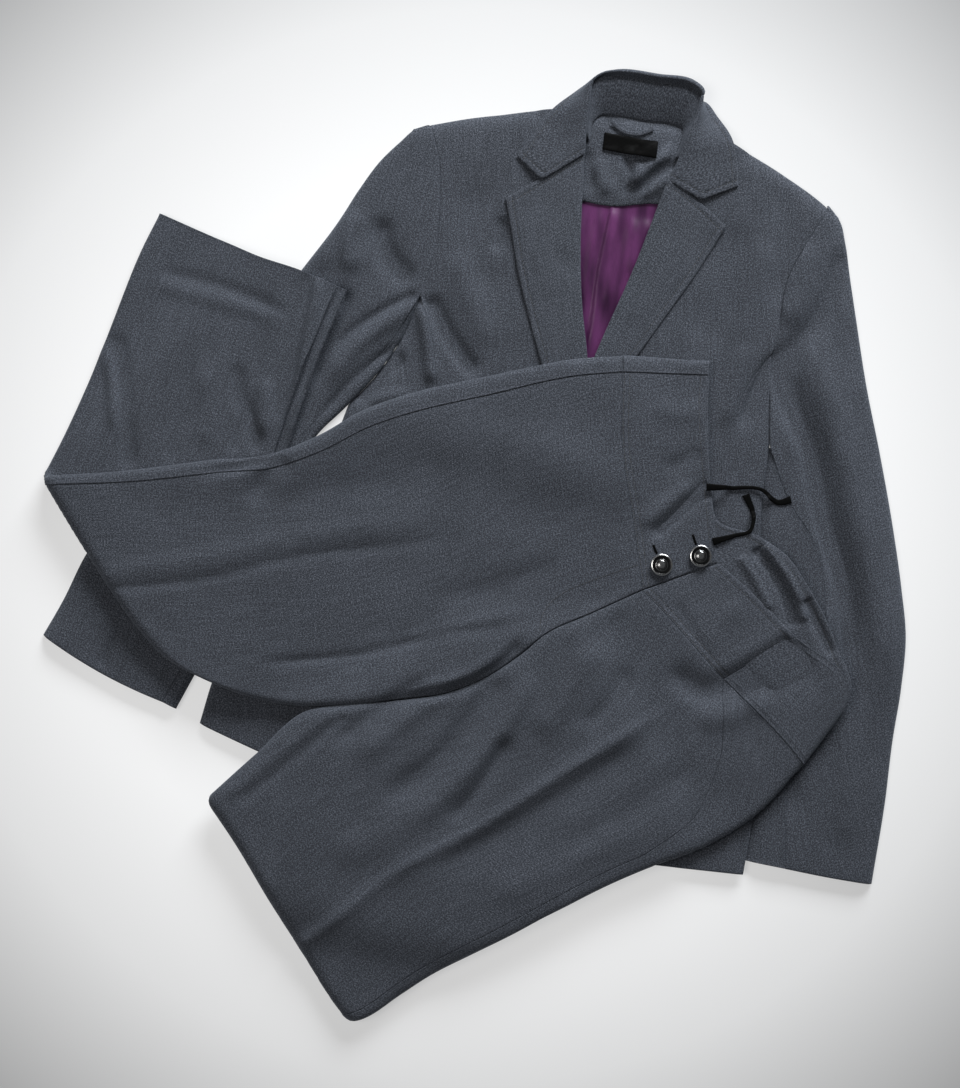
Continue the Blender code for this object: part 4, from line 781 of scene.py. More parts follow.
def declare(grid):
    """Works out the flat size and area of the cloth that a piece shows, without its seam allowance, and
    keeps none of them.
    """
    across = np.linalg.norm(np.diff(grid, axis=1), axis=-1)
    down = np.linalg.norm(np.diff(grid, axis=0), axis=-1)
    width = across.sum(axis=1).max() * MM
    length = down.sum(axis=0).max() * MM
    if min(width, length) < LEAST_SHEET * MM:
        return
    a = grid[:-1, :-1] - grid[1:, 1:]
    b = grid[:-1, 1:] - grid[1:, :-1]
    area = np.linalg.norm(np.cross(a, b), axis=-1).sum() / 2 * MM * MM
    area = min(max(area, LEAST_AREA * width * length), width * length)


def drawn_in(row, start, over, middle, spread):
    """How far a side of the back lies in from the body's edge at each row, or out past it under the arm."""
    return ease((row - start) / over) * INSET - UNDERARM_COVER * np.exp(-((row - middle) / spread) ** 2)


def jacket_back(below):
    """The back, flat on the surface."""
    right = chain((RIGHT_ARMHOLE, 5), (RIGHT_UNDERARM, 4), (RIGHT_SIDE, 7))
    left = chain((LEFT_ARMHOLE, 5), (LEFT_UNDERARM, 4), (LEFT_SIDE, 7))
    width = np.linalg.norm(right - left, axis=1)[:, None]
    row = np.arange(len(right))[:, None]
    near, far = (drawn_in(row, *edge) / width for edge in BACK_EDGES)
    columns = np.linspace(0, 1, 60)[None, :]
    back = between(right, left, columns * (1 - near - far) + near, BACK_TOP, BACK_HEM)
    shell("jacket_back", place(JACKET, back, FLOOR_LAYER), step=COARSE, grain=0, maps=[below])


def neck_facing(below):
    """The back neck facing, crumpled, tucked under the stand and lying on the lining."""
    facing = between(rows(FACING_RIGHT, 3), rows(FACING_LEFT, 3), None, FACING_TOP, FACING_LOW)
    crumple = folded(facing, FACING_FOLDS) + ripple(facing, *FACING_RIPPLE)
    height = LINING_LAYER + FACING_RISE + crumple.clip(-FACING_DIP)
    seam = np.array(STAND_SEAM, float)
    reach, where, _ = reach_to(facing, seam[:, :2])
    stand_low = np.interp(where, np.linspace(0, 1, len(seam)), seam[:, 2])
    height += (stand_low - UNDER_STAND - height) * np.exp(-(reach / STAND_REACH) ** 2)
    low_edge = distance(facing, smooth(FACING_LOW, 30))
    low = LINING_LAYER + FACING_LOW_RISE
    height += (low - height) * np.exp(-(low_edge / FACING_LOW_REACH) ** 2)
    shell("back_neck_facing", place(JACKET, facing, height), step=2.5, grain=4, maps=[below])


def back_lining(below):
    """The lining, from under the facing down, with its centre pleat."""
    top = [(x, y - LINING_UNDER) for x, y in FACING_LOW]
    right = rows([top[0]] + LINING_RIGHT[1:], 12)
    left = rows([top[-1]] + LINING_LEFT[1:], 12)
    lining = between(right, left, None, top, LINING_LOW)
    start, over = LINING_FOLDS_END
    height = folded(lining, LINING_FOLDS).clip(0) * (1 - ease((lining[..., 1] - start) / over))
    start, over = LINING_FOLDS_START
    height = height * ease((lining[..., 1] - FACING_LOW[1][1] + start) / over)
    height = LINING_LAYER - LINING_DROP + height
    placed = place(JACKET, lining, height)
    shell("back_lining", placed, "lining", LINING_WALL, step=3.0, grain=4, maps=[below])


def lapped(front, change, width):
    """How far a front rises or sinks near the line where the two fronts lap."""
    return change * np.exp(-(distance(front, smooth(LAP_LINE, 20)) / width) ** 2)


def fronts(below):
    """The left front and then the right front, which lies over it."""
    lowest = LINING_LAYER + WALL + 2 * CLEAR
    opening = chain((LEFT_ROLL, 9), (LEFT_EDGE, 8))
    outer = chain((LEFT_ARMHOLE, 6), (LEFT_PRINCESS, 11))
    left_front = between(opening, outer, None, LEFT_SHOULDER, LEFT_FRONT_HEM)
    height = raised(left_front, BODY_FOLDS, [LEFT_TURNED]) + lapped(left_front, *LEFT_LAP)
    over_lining = np.maximum(height, lowest + folded(left_front, PLEAT_OVER))
    height = np.where(left_front[..., 1] > LINING_START, over_lining, height)
    shell("jacket_left_front", place(JACKET, left_front, height), grain=1, maps=[below])
    opening = chain((RIGHT_ROLL, 9), (RIGHT_EDGE, 8))
    outer = chain((RIGHT_ARMHOLE, 6), (RIGHT_PRINCESS, 11))
    right_front = between(outer, opening, None, RIGHT_SHOULDER, RIGHT_FRONT_HEM)
    height = raised(right_front, BODY_FOLDS, [RIGHT_TURNED]) + lapped(right_front, *RIGHT_LAP)
    shell("jacket_right_front", place(JACKET, right_front, height), grain=-1, maps=[below])


def side_fronts(below):
    """The side fronts, beyond the princess seams."""
    outer = chain((RIGHT_UNDERARM, 5), (RIGHT_SIDE, 7))
    right_side = blunt(between(outer, rows(RIGHT_PRINCESS, 11), None, None, RIGHT_HEM))
    height = raised(right_side, BODY_FOLDS, [RIGHT_UNDERARM, RIGHT_SIDE])
    shell("jacket_right_side_front", place(JACKET, right_side, height), grain=-4, maps=[below])
    outer = chain((LEFT_UNDERARM, 4), (LEFT_SIDE, 8))
    left_side = blunt(between(rows(LEFT_PRINCESS, 11), outer, None, None, LEFT_HEM))
    height = raised(left_side, BODY_FOLDS, [LEFT_UNDERARM, LEFT_SIDE], LAPPED_EDGE)
    shell("jacket_left_side_front", place(JACKET, left_side, height), grain=4, maps=[below])


def right_sleeve(below):
    """The right top sleeve, and its under sleeve up to the body's edge."""
    inner = chain((RIGHT_UNDERARM, 5), (RIGHT_SLEEVE_IN, 8))
    outer = rows(RIGHT_SLEEVE_OUT, 17)
    lower = outer[5 * FINER:]
    toward = lower - inner
    toward /= np.linalg.norm(toward, axis=1)[:, None]
    inset = SLEEVE_SEAM_INSET * np.clip(np.linspace(0, 4, len(inner)), 0.06, 1)[:, None]
    seam = inner + toward * inset
    top = between(outer, np.vstack([rows(RIGHT_ARMHOLE, 6), seam[1:]]), None, None, RIGHT_CUFF)
    height = raised(blunt(top), SLEEVE_FOLDS + BODY_FOLDS, [RIGHT_SLEEVE_OUT])
    shell("right_top_sleeve", place(JACKET, blunt(top), height), grain=16, maps=[below])
    grown = inner + toward * UNDER_GAP
    strip = seam[:, None] + (grown - seam)[:, None] * np.linspace(0, 1, 5)[None, :, None]
    reach = np.linalg.norm(strip - grown[:, None], axis=-1)
    middle = (BODY_LAYER + FLOOR_LAYER) / 2
    height = middle + (raised(strip, SLEEVE_FOLDS, []) - middle) * round_off(reach, UNDER_ROLL)
    wrap("right_under_sleeve", strip, height, grown, lower, below)


def left_sleeve(below):
    """The left top sleeve, and its under sleeve, which the body's edge laps over."""
    inner = rows(LEFT_SLEEVE_IN, 12)
    seam = rows(LEFT_SLEEVE_SEAM, 12)
    outer = rows(LEFT_SLEEVE_OUT, 20)
    top = np.vstack([rows(LEFT_ARMHOLE, 6), rows(LEFT_UNDERARM, 4)[1:], seam[1:]])
    top = blunt(between(top, outer, None, None, LEFT_CUFF))
    height = raised(top, SLEEVE_FOLDS + BODY_FOLDS, [LEFT_SLEEVE_OUT])
    shell("left_top_sleeve", place(JACKET, top, height), grain=-14, maps=[below])
    strip = seam[:, None] + (inner - seam)[:, None] * np.linspace(0, 1, 9)[None, :, None]
    reach = np.maximum(distance(strip, inner) - TUCK - 0.5, 0)
    height = TUCKED_EDGE + (raised(strip, SLEEVE_FOLDS, []) - TUCKED_EDGE) * round_off(reach, EDGE_ROLL)
    wrap("left_under_sleeve", strip, height, inner, outer[8 * FINER:], below)


def wrap(name, strip, height, inner, outer, below):
    """An under sleeve: it shows between the seam and the inner edge, then lies flat underneath."""
    strip, height, inner, outer = (blunt(lines, UNDER_BLUNT) for lines in (strip, height, inner, outer))
    span = outer - inner
    length = np.linalg.norm(span, axis=1)
    near = UNDER_TURN / length
    far = 1 - INSET / length
    spread = np.linspace(0, 1, UNDER_COLUMNS)[None, :] ** UNDER_CROWD
    columns = near[:, None] + (far - near)[:, None] * spread
    under = inner[:, None] + span[:, None] * columns[..., None]
    grid = np.concatenate([strip, under], axis=1)
    lying = np.full(under.shape[:-1], FLOOR_LAYER)
    shell(name, place(JACKET, grid, np.concatenate([height, lying], axis=1)), step=3.0, maps=[below])


def rolled(grid, drop, out):
    """Turns a panel's first edge down round a fold, so that it meets the cloth underneath."""
    away = grid[:, 0, :2] - grid[:, 2, :2]
    away /= np.linalg.norm(away, axis=1)[:, None]
    added = []
    for angle in np.radians(TURN_ANGLES):
        point = grid[:, 0].copy()
        point[:, :2] += away * out * math.sin(angle)
        point[:, 2] -= drop * (1 - math.cos(angle))
        added.append(point)
    return np.concatenate([np.stack(added, axis=1), grid], axis=1)


def lapels(below):
    """Both lapels, lying on the fronts."""
    sides = (("right", RIGHT_LAPEL_FOLD, RIGHT_LAPEL_FREE, RIGHT_LAPEL_TOP),
             ("left", LEFT_LAPEL_FOLD, LEFT_LAPEL_FREE, LEFT_LAPEL_TOP))
    for side, fold, free, top in sides:
        grid = between(rows(fold, 10), rows(free, 10), LAPEL_COLUMNS, top)
        rest = below.read(below.support(*LAPEL_SUPPORT), place(JACKET, grid, 0.0))
        height = rest + CLEAR + HALF + LAPEL_LIFT + folded(grid, LAPEL_FOLDS).clip(-LAPEL_LIFT)
        grid = rolled(place(JACKET, grid, height), *LAPEL_TURN)
        shell(side + "_lapel", grid, edges=(PLAIN, TOPSTITCHED, TOPSTITCHED, PLAIN), step=3.0, maps=[below])


def blend(first, last, share):
    """Lines on the way from one line to another, one at each of the given shares."""
    share = share[:, None, None]
    return first[None] * (1 - share) + last[None] * share


def collar_fall():
    """The collar's fall, from its roll round the neck out to its free edge."""
    roll = smooth(COLLAR_ROLL, 200)
    edge = smooth(COLLAR_EDGE, 200)
    share = np.linspace(0, 1, 16)
    fall = blend(roll, edge, share)
    bulge = np.interp(edge[:, 2], [1.0, 11.0], [BACK_SAG, SIDE_BULGE])
    fall[..., 2] += np.sin(np.pi * share)[:, None] * bulge
    bend = 1 - abs(2 * share - 1)
    for end, notch in ((0, RIGHT_NOTCH), (-1, LEFT_NOTCH)):
        middle = (roll[end, :2] + edge[end, :2]) / 2
        for k in range(NOTCH_THREADS):
            at = k if end == 0 else -1 - k
            fall[:, at, :2] += bend[:, None] * (np.array(notch) - middle) * ease(1 - k / NOTCH_THREADS)
    placed = place(JACKET, fall[..., :2], fall[..., 2]).transpose(1, 0, 2)
    placed = rolled(placed, *FALL_TURN).transpose(1, 0, 2)
    shell("collar_fall", placed, step=3.0, edges=(TOPSTITCHED, TOPSTITCHED, PLAIN, TOPSTITCHED))


def collar_stand():
    """The stand, from inside the fall's roll down to its seam with the facing."""
    seam = smooth(STAND_SEAM, 120)
    top = along(smooth(COLLAR_ROLL, 240), np.linspace(*STAND_SPAN, 120))
    share = np.array(STAND_ROWS)
    stand = blend(top, seam, share)
    stand[..., 2] -= np.interp(share, *zip(*STAND_DROP))[:, None]
    shell("collar_stand", place(JACKET, stand[..., :2], stand[..., 2]), step=3.0,
          edges=(PLAIN, PLAIN, PLAIN, SEAMED))


def label_and_loop(below):
    """The label and the hanger loop, on the neck facing."""
    corners = np.array(LABEL_CORNERS, float)
    label = between(smooth(corners[[0, 3]], 12), smooth(corners[[1, 2]], 12), 30)
    label = place(JACKET, label, 0.0)
    label[..., 2] = below.read(below.support(*NEAR), label) + CLEAR + THIN / 2
    shell("neck_label", label, "satin", THIN, (PLAIN,) * 4, 1.5)
    loop = place(JACKET, band(LOOP_LINE, LOOP_WIDTH, 40), 0.0)
    arch = np.sin(np.linspace(0, math.pi, 40))[:, None]
    loop[..., 2] = below.read(below.support(*NEAR), loop) + CLEAR + THIN / 2 + LOOP_ARCH * arch
    shell("hanger_loop", loop, wall=THIN, edges=(PLAIN,) * 4, step=1.2)


def band(line, width, count):
    """Grid of a narrow strip along a line."""
    middle = smooth(line, count)
    run = np.gradient(middle, axis=0)
    side = np.stack([-run[:, 1], run[:, 0]], axis=1) / np.linalg.norm(run, axis=1)[:, None]
    return middle[:, None] + side[:, None] * np.linspace(-0.5, 0.5, 5)[None, :, None] * width


def space_between(left, right, share):
    """Distance between two lines at the same shares of their lengths."""
    return np.linalg.norm(along(left, share) - along(right, share), axis=-1)


class LegPanel:
    """One cut panel of a leg, laid flat above the knee and folded under below it.

    A level of 1 puts a point on the front layer above the knee, 0 on the back layer.
    """

    def __init__(self, leg, front, strip, columns=64):
        self.leg = leg
        self.edges = [smooth(line, 240) for line in (leg.out, leg.inner, leg.low_out, leg.low_inner)]
        self.length = np.linalg.norm(np.diff(self.edges[1], axis=0), axis=1).sum()
        self.low_length = np.linalg.norm(np.diff(self.edges[3], axis=0), axis=1).sum()
        bend = np.array([KNEE_ROLL, *KNEE_THREADS])
        self.above = np.concatenate([np.arange(self.length, KNEE_ROLL + 3, -STEP), bend])
        self.beneath = np.concatenate([bend[-2::-1], np.arange(KNEE_ROLL + 3, self.low_length, STEP)])
        down = 1 - self.above / self.length
        width = space_between(self.edges[0], self.edges[1], down)
        table = np.array(leg.inset, float)
        seam = np.interp(down, table[:, 0], table[:, 1])
        joined = 1 - ease((down - CROTCH) / PARTING)
        self.share, self.level = self.across(front, strip, seam, width, joined, columns)
        width = space_between(self.edges[2], self.edges[3], self.beneath / self.low_length)
        seam = np.full(len(width), table[-1, 1])
        parted = np.zeros(len(width))
        self.low_share, self.low_level = self.across(front, strip, seam, width, parted, columns)

    def across(self, front, strip, seam, width, joined, columns):
        """Shares of the width and levels of one panel's columns, row by row."""
        seam = (seam / width)[:, None]
        width = width[:, None]
        if front:
            spread = np.linspace(0, 1, columns)[None, :]
            middle = seam + (1 - INNER_ROLL / width - seam) * spread
            turn = np.linspace(0, 1, 6)[None, 1:]
            last = middle[:, -1:]
            share = np.concatenate([middle, last + (1 - last) * turn], axis=1)
            edge = INNER_DROP + (1 - INNER_DROP) * joined[:, None]
            rolling = 1 - (1 - edge) * (1 - np.sqrt(1 - turn**2))
            return share, np.concatenate([np.ones_like(middle), rolling], axis=1)
        strip = np.array(strip)[None, :] * seam
        near = OUTER_NEST / width
        under = near + (1 - near - INNER_NEST / width) * np.linspace(0, 1, columns)[None, :]
        level = 0.5 + 0.5 * round_off(strip * width, LEG_ROLL)
        flat = TURN_LEVEL * np.exp(-np.arange(columns) / TURN_THREADS)[None, :] + np.zeros_like(under)
        return np.concatenate([strip, under], axis=1), np.concatenate([level, flat], axis=1)

    def upper(self):
        """Garment points above the knee, from the waist to the fold."""
        nest = KNEE_NEST * (1 - self.level) * (1 - self.above[:, None] / self.length)
        t = 1 - (self.above[:, None] + nest) / self.length
        left, right = self.edges[:2]
        ends = (left[0], right[0], left[-1], right[-1])
        return patch(along(left, t), along(right, t), self.share, t, ends, self.leg.waist, self.leg.knee)

    def lower(self):
        """Garment points below the knee, from the fold to the hem."""
        nest = KNEE_NEST * (1 - self.low_level) * (1 - self.beneath[:, None] / self.low_length)
        t = (self.beneath[:, None] + nest) / self.low_length
        left, right = self.edges[2:]
        ends = (left[0], right[0], left[-1], right[-1])
        return patch(along(left, t), along(right, t), self.low_share, t, ends, self.leg.knee, self.leg.hem)


def upper_height(below, rest, grid, level, rise=LEG_RISE, folds=()):
    """Places points of the folded trousers above whatever they rest on."""
    placed = place(TROUSERS, grid, 0.0)
    rise = rise + folded(grid, LEG_FOLDS + list(folds)) + ripple(grid, RIPPLE)
    lift = level * np.maximum(rise, LOWEST_LIFT)
    placed[..., 2] = below.read(rest, placed) + HALF + CLEAR + LAY + lift
    return placed


def trousers(below):
    """Leg panels and waistband."""
    names = ["trouser_right_back", "trouser_right_front", "trouser_left_back", "trouser_left_front"]
    panels = []
    for leg, (count, crowd) in ((RIGHT_LEG, RIGHT_STRIP), (LEFT_LEG, LEFT_STRIP)):
        panels.append(LegPanel(leg, False, np.linspace(1, 0, count) ** crowd))
        panels.append(LegPanel(leg, True, []))
    rest = below.support(*LEG_SUPPORT)
    lows = []
    for panel in panels:
        grid = panel.lower()
        rise = LOWER_RISE + folded(grid, LOWER_FOLDS) + ripple(grid, LOWER_RIPPLE)
        lift = (1 - panel.low_level) * np.maximum(rise, LOWEST_LIFT)
        placed = place(TROUSERS, grid, 0.0)
        placed[..., 2] = below.read(rest, placed) + HALF + CLEAR + LAY + lift
        lows.append(placed)
    for placed in lows:
        below.stamp(placed + np.array([0, 0, HALF]))
    rest = below.support(*LEG_SUPPORT)
    for name, panel, low in zip(names, panels, lows):
        seam = FLAT_SEAM if "left" in name else SEAMED
        high = upper_height(below, rest, panel.upper(), panel.level)
        middle = (high[-1, :, 2] + low[0, :, 2]) / 2
        turn = round_off(panel.above, KNEE_ROLL)[:, None]
        high[..., 2] = middle + (high[..., 2] - middle) * turn
        turn = round_off(panel.beneath, KNEE_ROLL)[:, None]
        low[..., 2] = middle + (low[..., 2] - middle) * turn
        shell(name, np.concatenate([high, low]), edges=(seam, SEAMED, SEAMED, PLAIN))
        below.stamp(high + np.array([0, 0, HALF]))
    waistband(below, rest, panels)


def ruled(top, low, share, count):
    """Straight threads from one line to another at the given shares."""
    return blend(along(smooth(top, 80), share), along(smooth(low, 80), share), np.linspace(0, 1, count))


def waistband(below, rest, panels):
    """Three pieces: a front band on each side and the back band that wraps round both sides."""
    rise = np.linspace(BAND_RISE, LEG_RISE, BAND_ROWS)[:, None]
    bands = (("waistband_right_front", RIGHT_BAND_TOP, RIGHT_WAIST_SEAM, panels[1].share[0]),
             ("waistband_left_front", LEFT_BAND_TOP, LEFT_WAIST_SEAM, panels[3].share[0]))
    for name, top, low, share in bands:
        grid = ruled(top, low, share, BAND_ROWS)
        placed = upper_height(below, rest, grid, 1.0, rise, BAND_FOLDS)
        shell(name, placed, edges=(SEAMED, SEAMED, TOPSTITCHED, TWIN_STITCHED), step=3.0, maps=[below])
    strips = []
    sides = ((panels[0], RIGHT_BAND_TOP, RIGHT_WAIST_SEAM), (panels[2], LEFT_BAND_TOP, LEFT_WAIST_SEAM))
    for panel, top, low in sides:
        edge = int(np.argmin(panel.level[0] > 0.3))
        share = panel.share[0][:edge]
        level = panel.level[0][:edge]
        grid = ruled(top, low, share, BAND_ROWS)
        strips.append(upper_height(below, rest, grid, level, rise, BAND_FOLDS))
    share = np.linspace(*BACK_BAND_SPAN, BACK_BAND_COLUMNS)
    under = ruled(BACK_BAND_TOP, BACK_BAND_LOW, share, BAND_ROWS)
    placed = upper_height(below, rest, under, 0.0)
    shows = ease(np.linspace(1, 0, BAND_ROWS) / INSIDE_FADE)[:, None]
    placed[..., 2] += (INSIDE_RISE + folded(under, INSIDE_FOLDS)).clip(0) * shows
    grid = np.concatenate([strips[0], placed, strips[1][:, ::-1]], axis=1)
    shell("waistband_back", grid, edges=(SEAMED, SEAMED, TOPSTITCHED, TWIN_STITCHED), step=2.0)
    for placed in (*strips, placed):
        below.stamp(placed + np.array([0, 0, HALF]))


def fastenings(below):
    """Buttons and ribbon loops."""
    rest = below.support(12, 0)
    for name, x, y in BUTTONS:
        at = place(TROUSERS, np.array([[x, y]], float), 0.0)
        at[0, 2] = below.read(rest, at)[0] + CLEAR
        button(name, at[0])
    for name, line in BUTTONHOLES:
        placed = place(TROUSERS, band(line, BUTTONHOLE_WIDTH, 12), 0.0)
        placed[..., 2] = below.read(below.support(2, 0), placed) + BUTTONHOLE_LIFT
        shell(name, placed, "satin", BUTTONHOLE_WALL, (PLAIN,) * 4, 1.0, replaces=())
    spread = np.linspace(-1, 1, 60)[:, None, None] ** 2
    width = RIBBON_WIDTH * (RIBBON_WAIST + (1 - RIBBON_WAIST) * spread)
    for name, line in (("ribbon_loop_inner", RIBBON_INNER), ("ribbon_loop_outer", RIBBON_OUTER)):
        rest = below.support(10, 0)
        placed = place(TROUSERS, band(line, width, 60), 0.0)
        placed[..., 2] = below.read(rest, placed) + CLEAR + THIN / 2
        shell(name, placed, "satin", THIN, (PLAIN,) * 4, 1.5, maps=[below])


def stitches(name, runs):
    """Separate stitches along lines on the cloth; runs holds each line's points and its normals."""
    points = []
    quads = []
    corner = np.array([[1, 0], [0, 1], [-1, 0], [0, -1]]) * THREAD
    shares, lifts, sizes = np.array(STITCH_RINGS).T
    for line, normal in runs:
        run = run_of(line)
        for start in np.arange(STITCH_PITCH / 2, run[-1] - STITCH, STITCH_PITCH):
            at = start + STITCH * shares
            middle = np.stack([np.interp(at, run, line[:, k]) for k in range(3)], axis=-1)
            up = np.stack([np.interp(start, run, normal[:, k]) for k in range(3)])
            ahead = middle[-1] - middle[0]
            ahead /= np.linalg.norm(ahead)
            aside = np.cross(up, ahead)
            first = len(points)
            for point, rise, size in zip(middle, lifts, sizes):
                for side, high in corner * size:
                    points.append(point + aside * side + up * (high + rise))
            for ring in range(4):
                for k in range(4):
                    a = first + ring * 4
                    quads.append([a + k, a + (k + 1) % 4, a + 4 + (k + 1) % 4, a + 4 + k])
            quads.append([first + 3, first + 2, first + 1, first])
            quads.append([first + 16, first + 17, first + 18, first + 19])
    points = np.array(points)
    return mesh_piece(name, points, quads, "thread", points[:, :2] * MM)


def edge_run(name, side, distance):
    """The thread of a shell that lies the given distance in from one of its edges."""
    part = made[name]
    k = [mark for mark, _ in getattr(part, side)].index(distance)
    lines = {"left": np.s_[:, k], "right": np.s_[:, -1 - k], "top": np.s_[k, :], "bottom": np.s_[-1 - k, :]}
    return part.over[lines[side]], part.side[lines[side]]


def on_surface(name, garment, line, count=60):
    """A line drawn in a garment's frame, laid on the upper face of one of its shells."""
    part = made[name]
    path = place(garment, smooth(line, count), 0.0)
    over = part.over.reshape(-1, 3)
    side = part.side.reshape(-1, 3)
    laid = []
    for point in path:
        gap = np.linalg.norm(over[:, :2] - point[:2], axis=1)
        near = np.argsort(gap)[:4]
        weight = 1 / (gap[near] + 0.05)
        weight /= weight.sum()
        height = (over[near, 2] * weight).sum()
        normal = (side[near] * weight[:, None]).sum(axis=0)
        laid.append([point[0], point[1], height, *normal])
    laid = np.array(laid)
    return laid[:, :3], laid[:, 3:]


def stitching():
    """Every row of stitches that shows."""
    for side in ("right", "left"):
        name = side + "_lapel"
        stitches(name + "_stitches", [edge_run(name, "right", 6.0), edge_run(name, "top", 6.0)])
    stitches("collar_stitches", [edge_run("collar_fall", k, 6.0) for k in ("left", "right", "bottom")])
    for name in ("waistband_right_front", "waistband_left_front", "waistband_back"):
        runs = [edge_run(name, "top", 6.0), edge_run(name, "bottom", 1.6), edge_run(name, "bottom", 6.4)]
        stitches(name + "_stitches", runs)
    runs = [on_surface("trouser_right_front", TROUSERS, FLY_STITCH)]
    stitches("fly_stitches", runs)


def button(name, at):
    """A turned metal button: a bright rim, a dark groove and a domed middle."""
    turns = BUTTON_TURNS
    profile = smooth(BUTTON_PROFILE[1:], BUTTON_RINGS)
    angle = np.linspace(0, 2 * math.pi, turns, endpoint=False)
    points = []
    for share, height in profile:
        ring = np.stack([np.cos(angle), np.sin(angle), np.zeros(turns)], axis=-1) * share * BUTTON_RADIUS
        points.append(ring + at + np.array([0, 0, height]))
    points = np.concatenate(points + [[at + np.array([0, 0, BUTTON_PROFILE[0][1]])], [at]])
    radius = np.append(np.repeat(profile[:, 0], turns), [0.0, 0.0])
    faces = []
    top = len(points) - 2
    last = (len(profile) - 1) * turns
    for k in range(turns):
        after = (k + 1) % turns
        for ring in range(len(profile) - 1):
            a = ring * turns
            faces.append([a + k, a + turns + k, a + turns + after, a + after])
        faces.append([top, k, after])
        faces.append([top + 1, last + after, last + k])
    piece = mesh_piece(name, points, faces, "button_metal", np.stack([radius, radius], axis=-1))
    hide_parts(name)


class Finish:
    """A procedural material built node by node around one Principled shader."""

    def __init__(self, name, roughness, **sockets):
        self.material = bpy.data.materials.new(name)
        self.material.use_nodes = True
        self.tree = self.material.node_tree
        self.shader = self.tree.nodes["Principled BSDF"]
        self.shader.inputs["Roughness"].default_value = roughness
        for socket, value in sockets.items():
            self.shader.inputs[socket.replace("_", " ")].default_value = value
        self.grain = self.node("ShaderNodeUVMap", uv_map="grain").outputs["UV"]

    def node(self, kind, inputs=(), **settings):
        """Adds a node, sets its settings, and links or sets its inputs by name or number."""
        node = self.tree.nodes.new(kind)
        for key, value in settings.items():
            setattr(node, key, value)
        for key, value in dict(inputs).items():
            if isinstance(value, bpy.types.NodeSocket):
                self.tree.links.new(value, node.inputs[key])
            else:
                node.inputs[key].default_value = value
        return node

    def scaled(self, across, along):
        """The cloth's own position, counted in cells of the given sizes in millimetres."""
        counts = (1000 / across, 1000 / along, 1.0)
        return self.node("ShaderNodeMapping", {"Vector": self.grain, "Scale": counts}).outputs["Vector"]

    def noise(self, across, along, detail=2.0):
        """Noise from 0 to 1 with cells of the given sizes in millimetres."""
        where = self.scaled(across, along)
        inputs = {"Vector": where, "Scale": 1.0, "Detail": detail, "Roughness": 0.6}
        return self.node("ShaderNodeTexNoise", inputs).outputs["Fac"]

    def ramp(self, value, stops):
        """A colour or grey from a value; stops are (place, grey or colour)."""
        node = self.node("ShaderNodeValToRGB", {"Fac": value})
        ramp = node.color_ramp
        while len(ramp.elements) < len(stops):
            ramp.elements.new(0.5)
        for element, (spot, colour) in zip(ramp.elements, stops):
            element.position = spot
            element.color = (*colour, 1) if isinstance(colour, tuple) else (colour, colour, colour, 1)
        return node.outputs["Color"]

    def varied(self, cells, low, high):
        """Noise in cells of the given sizes and detail, from one grey or colour to another."""
        return self.ramp(self.noise(*cells), [(0.3, low), (0.7, high)])

    def bands(self, size, direction, **inputs):
        """Bands from 0 to 1 across the cloth, in cells of the given size in millimetres."""
        extra = {key.replace("_", " "): value for key, value in inputs.items()}
        inputs = {"Vector": self.scaled(size, size), "Scale": 1.0, **extra}
        return self.node("ShaderNodeTexWave", inputs, bands_direction=direction).outputs["Fac"]

    def times(self, first, second):
        """One colour multiplied by another."""
        inputs = {"Factor": 1.0, 6: first, 7: second}
        return self.node("ShaderNodeMix", inputs, data_type="RGBA", blend_type="MULTIPLY").outputs[2]

    def colour(self, value):
        """Gives the shader its colour."""
        self.tree.links.new(value, self.shader.inputs["Base Color"])

    def bump(self, height, distance, strength=1.0, under=None):
        """Raises the surface by a height from 0 to 1, over an earlier bump if there is one."""
        inputs = {"Height": height, "Distance": distance * MM, "Strength": strength}
        if under is not None:
            inputs["Normal"] = under
        normal = self.node("ShaderNodeBump", inputs).outputs["Normal"]
        self.tree.links.new(normal, self.shader.inputs["Normal"])
        return normal


def suiting():
    """Salt-and-pepper wool blend: light and dark yarns in a fine twill, with faint lengthwise slubs."""
    cloth = Finish("suiting", 0.88, Sheen_Weight=0.12, Sheen_Roughness=0.5, Specular_IOR_Level=0.18)
    cloth.shader.inputs["Sheen Tint"].default_value = (0.75, 0.85, 1.0, 1)
    yarn = cloth.noise(1.0, 1.4, 3.0)
    tone = cloth.ramp(yarn, [(0.34, (0.0145, 0.0162, 0.0205)), (0.5, (0.042, 0.047, 0.058)),
                             (0.66, (0.112, 0.122, 0.145))])
    fleck = cloth.ramp(cloth.noise(0.9, 0.9, 0.5), [(0.68, 1.0), (0.76, 1.8)])
    slub = cloth.varied((1.6, 30, 2.0), 0.80, 1.20)
    cross = cloth.varied((24, 1.7, 1.0), 0.93, 1.07)
    patchy = cloth.varied((60, 80, 3.0), 0.92, 1.08)
    tone = cloth.times(cloth.times(tone, fleck), slub)
    cloth.colour(cloth.times(cloth.times(tone, cross), patchy))
    twill = cloth.bands(2.6, "DIAGONAL", Distortion=1.4, Detail=1.0, Detail_Scale=3.0)
    under = cloth.bump(twill, 0.10, 0.7)
    cloth.bump(cloth.noise(0.8, 1.1, 2.0), 0.10, 0.8, under)
    return cloth.material


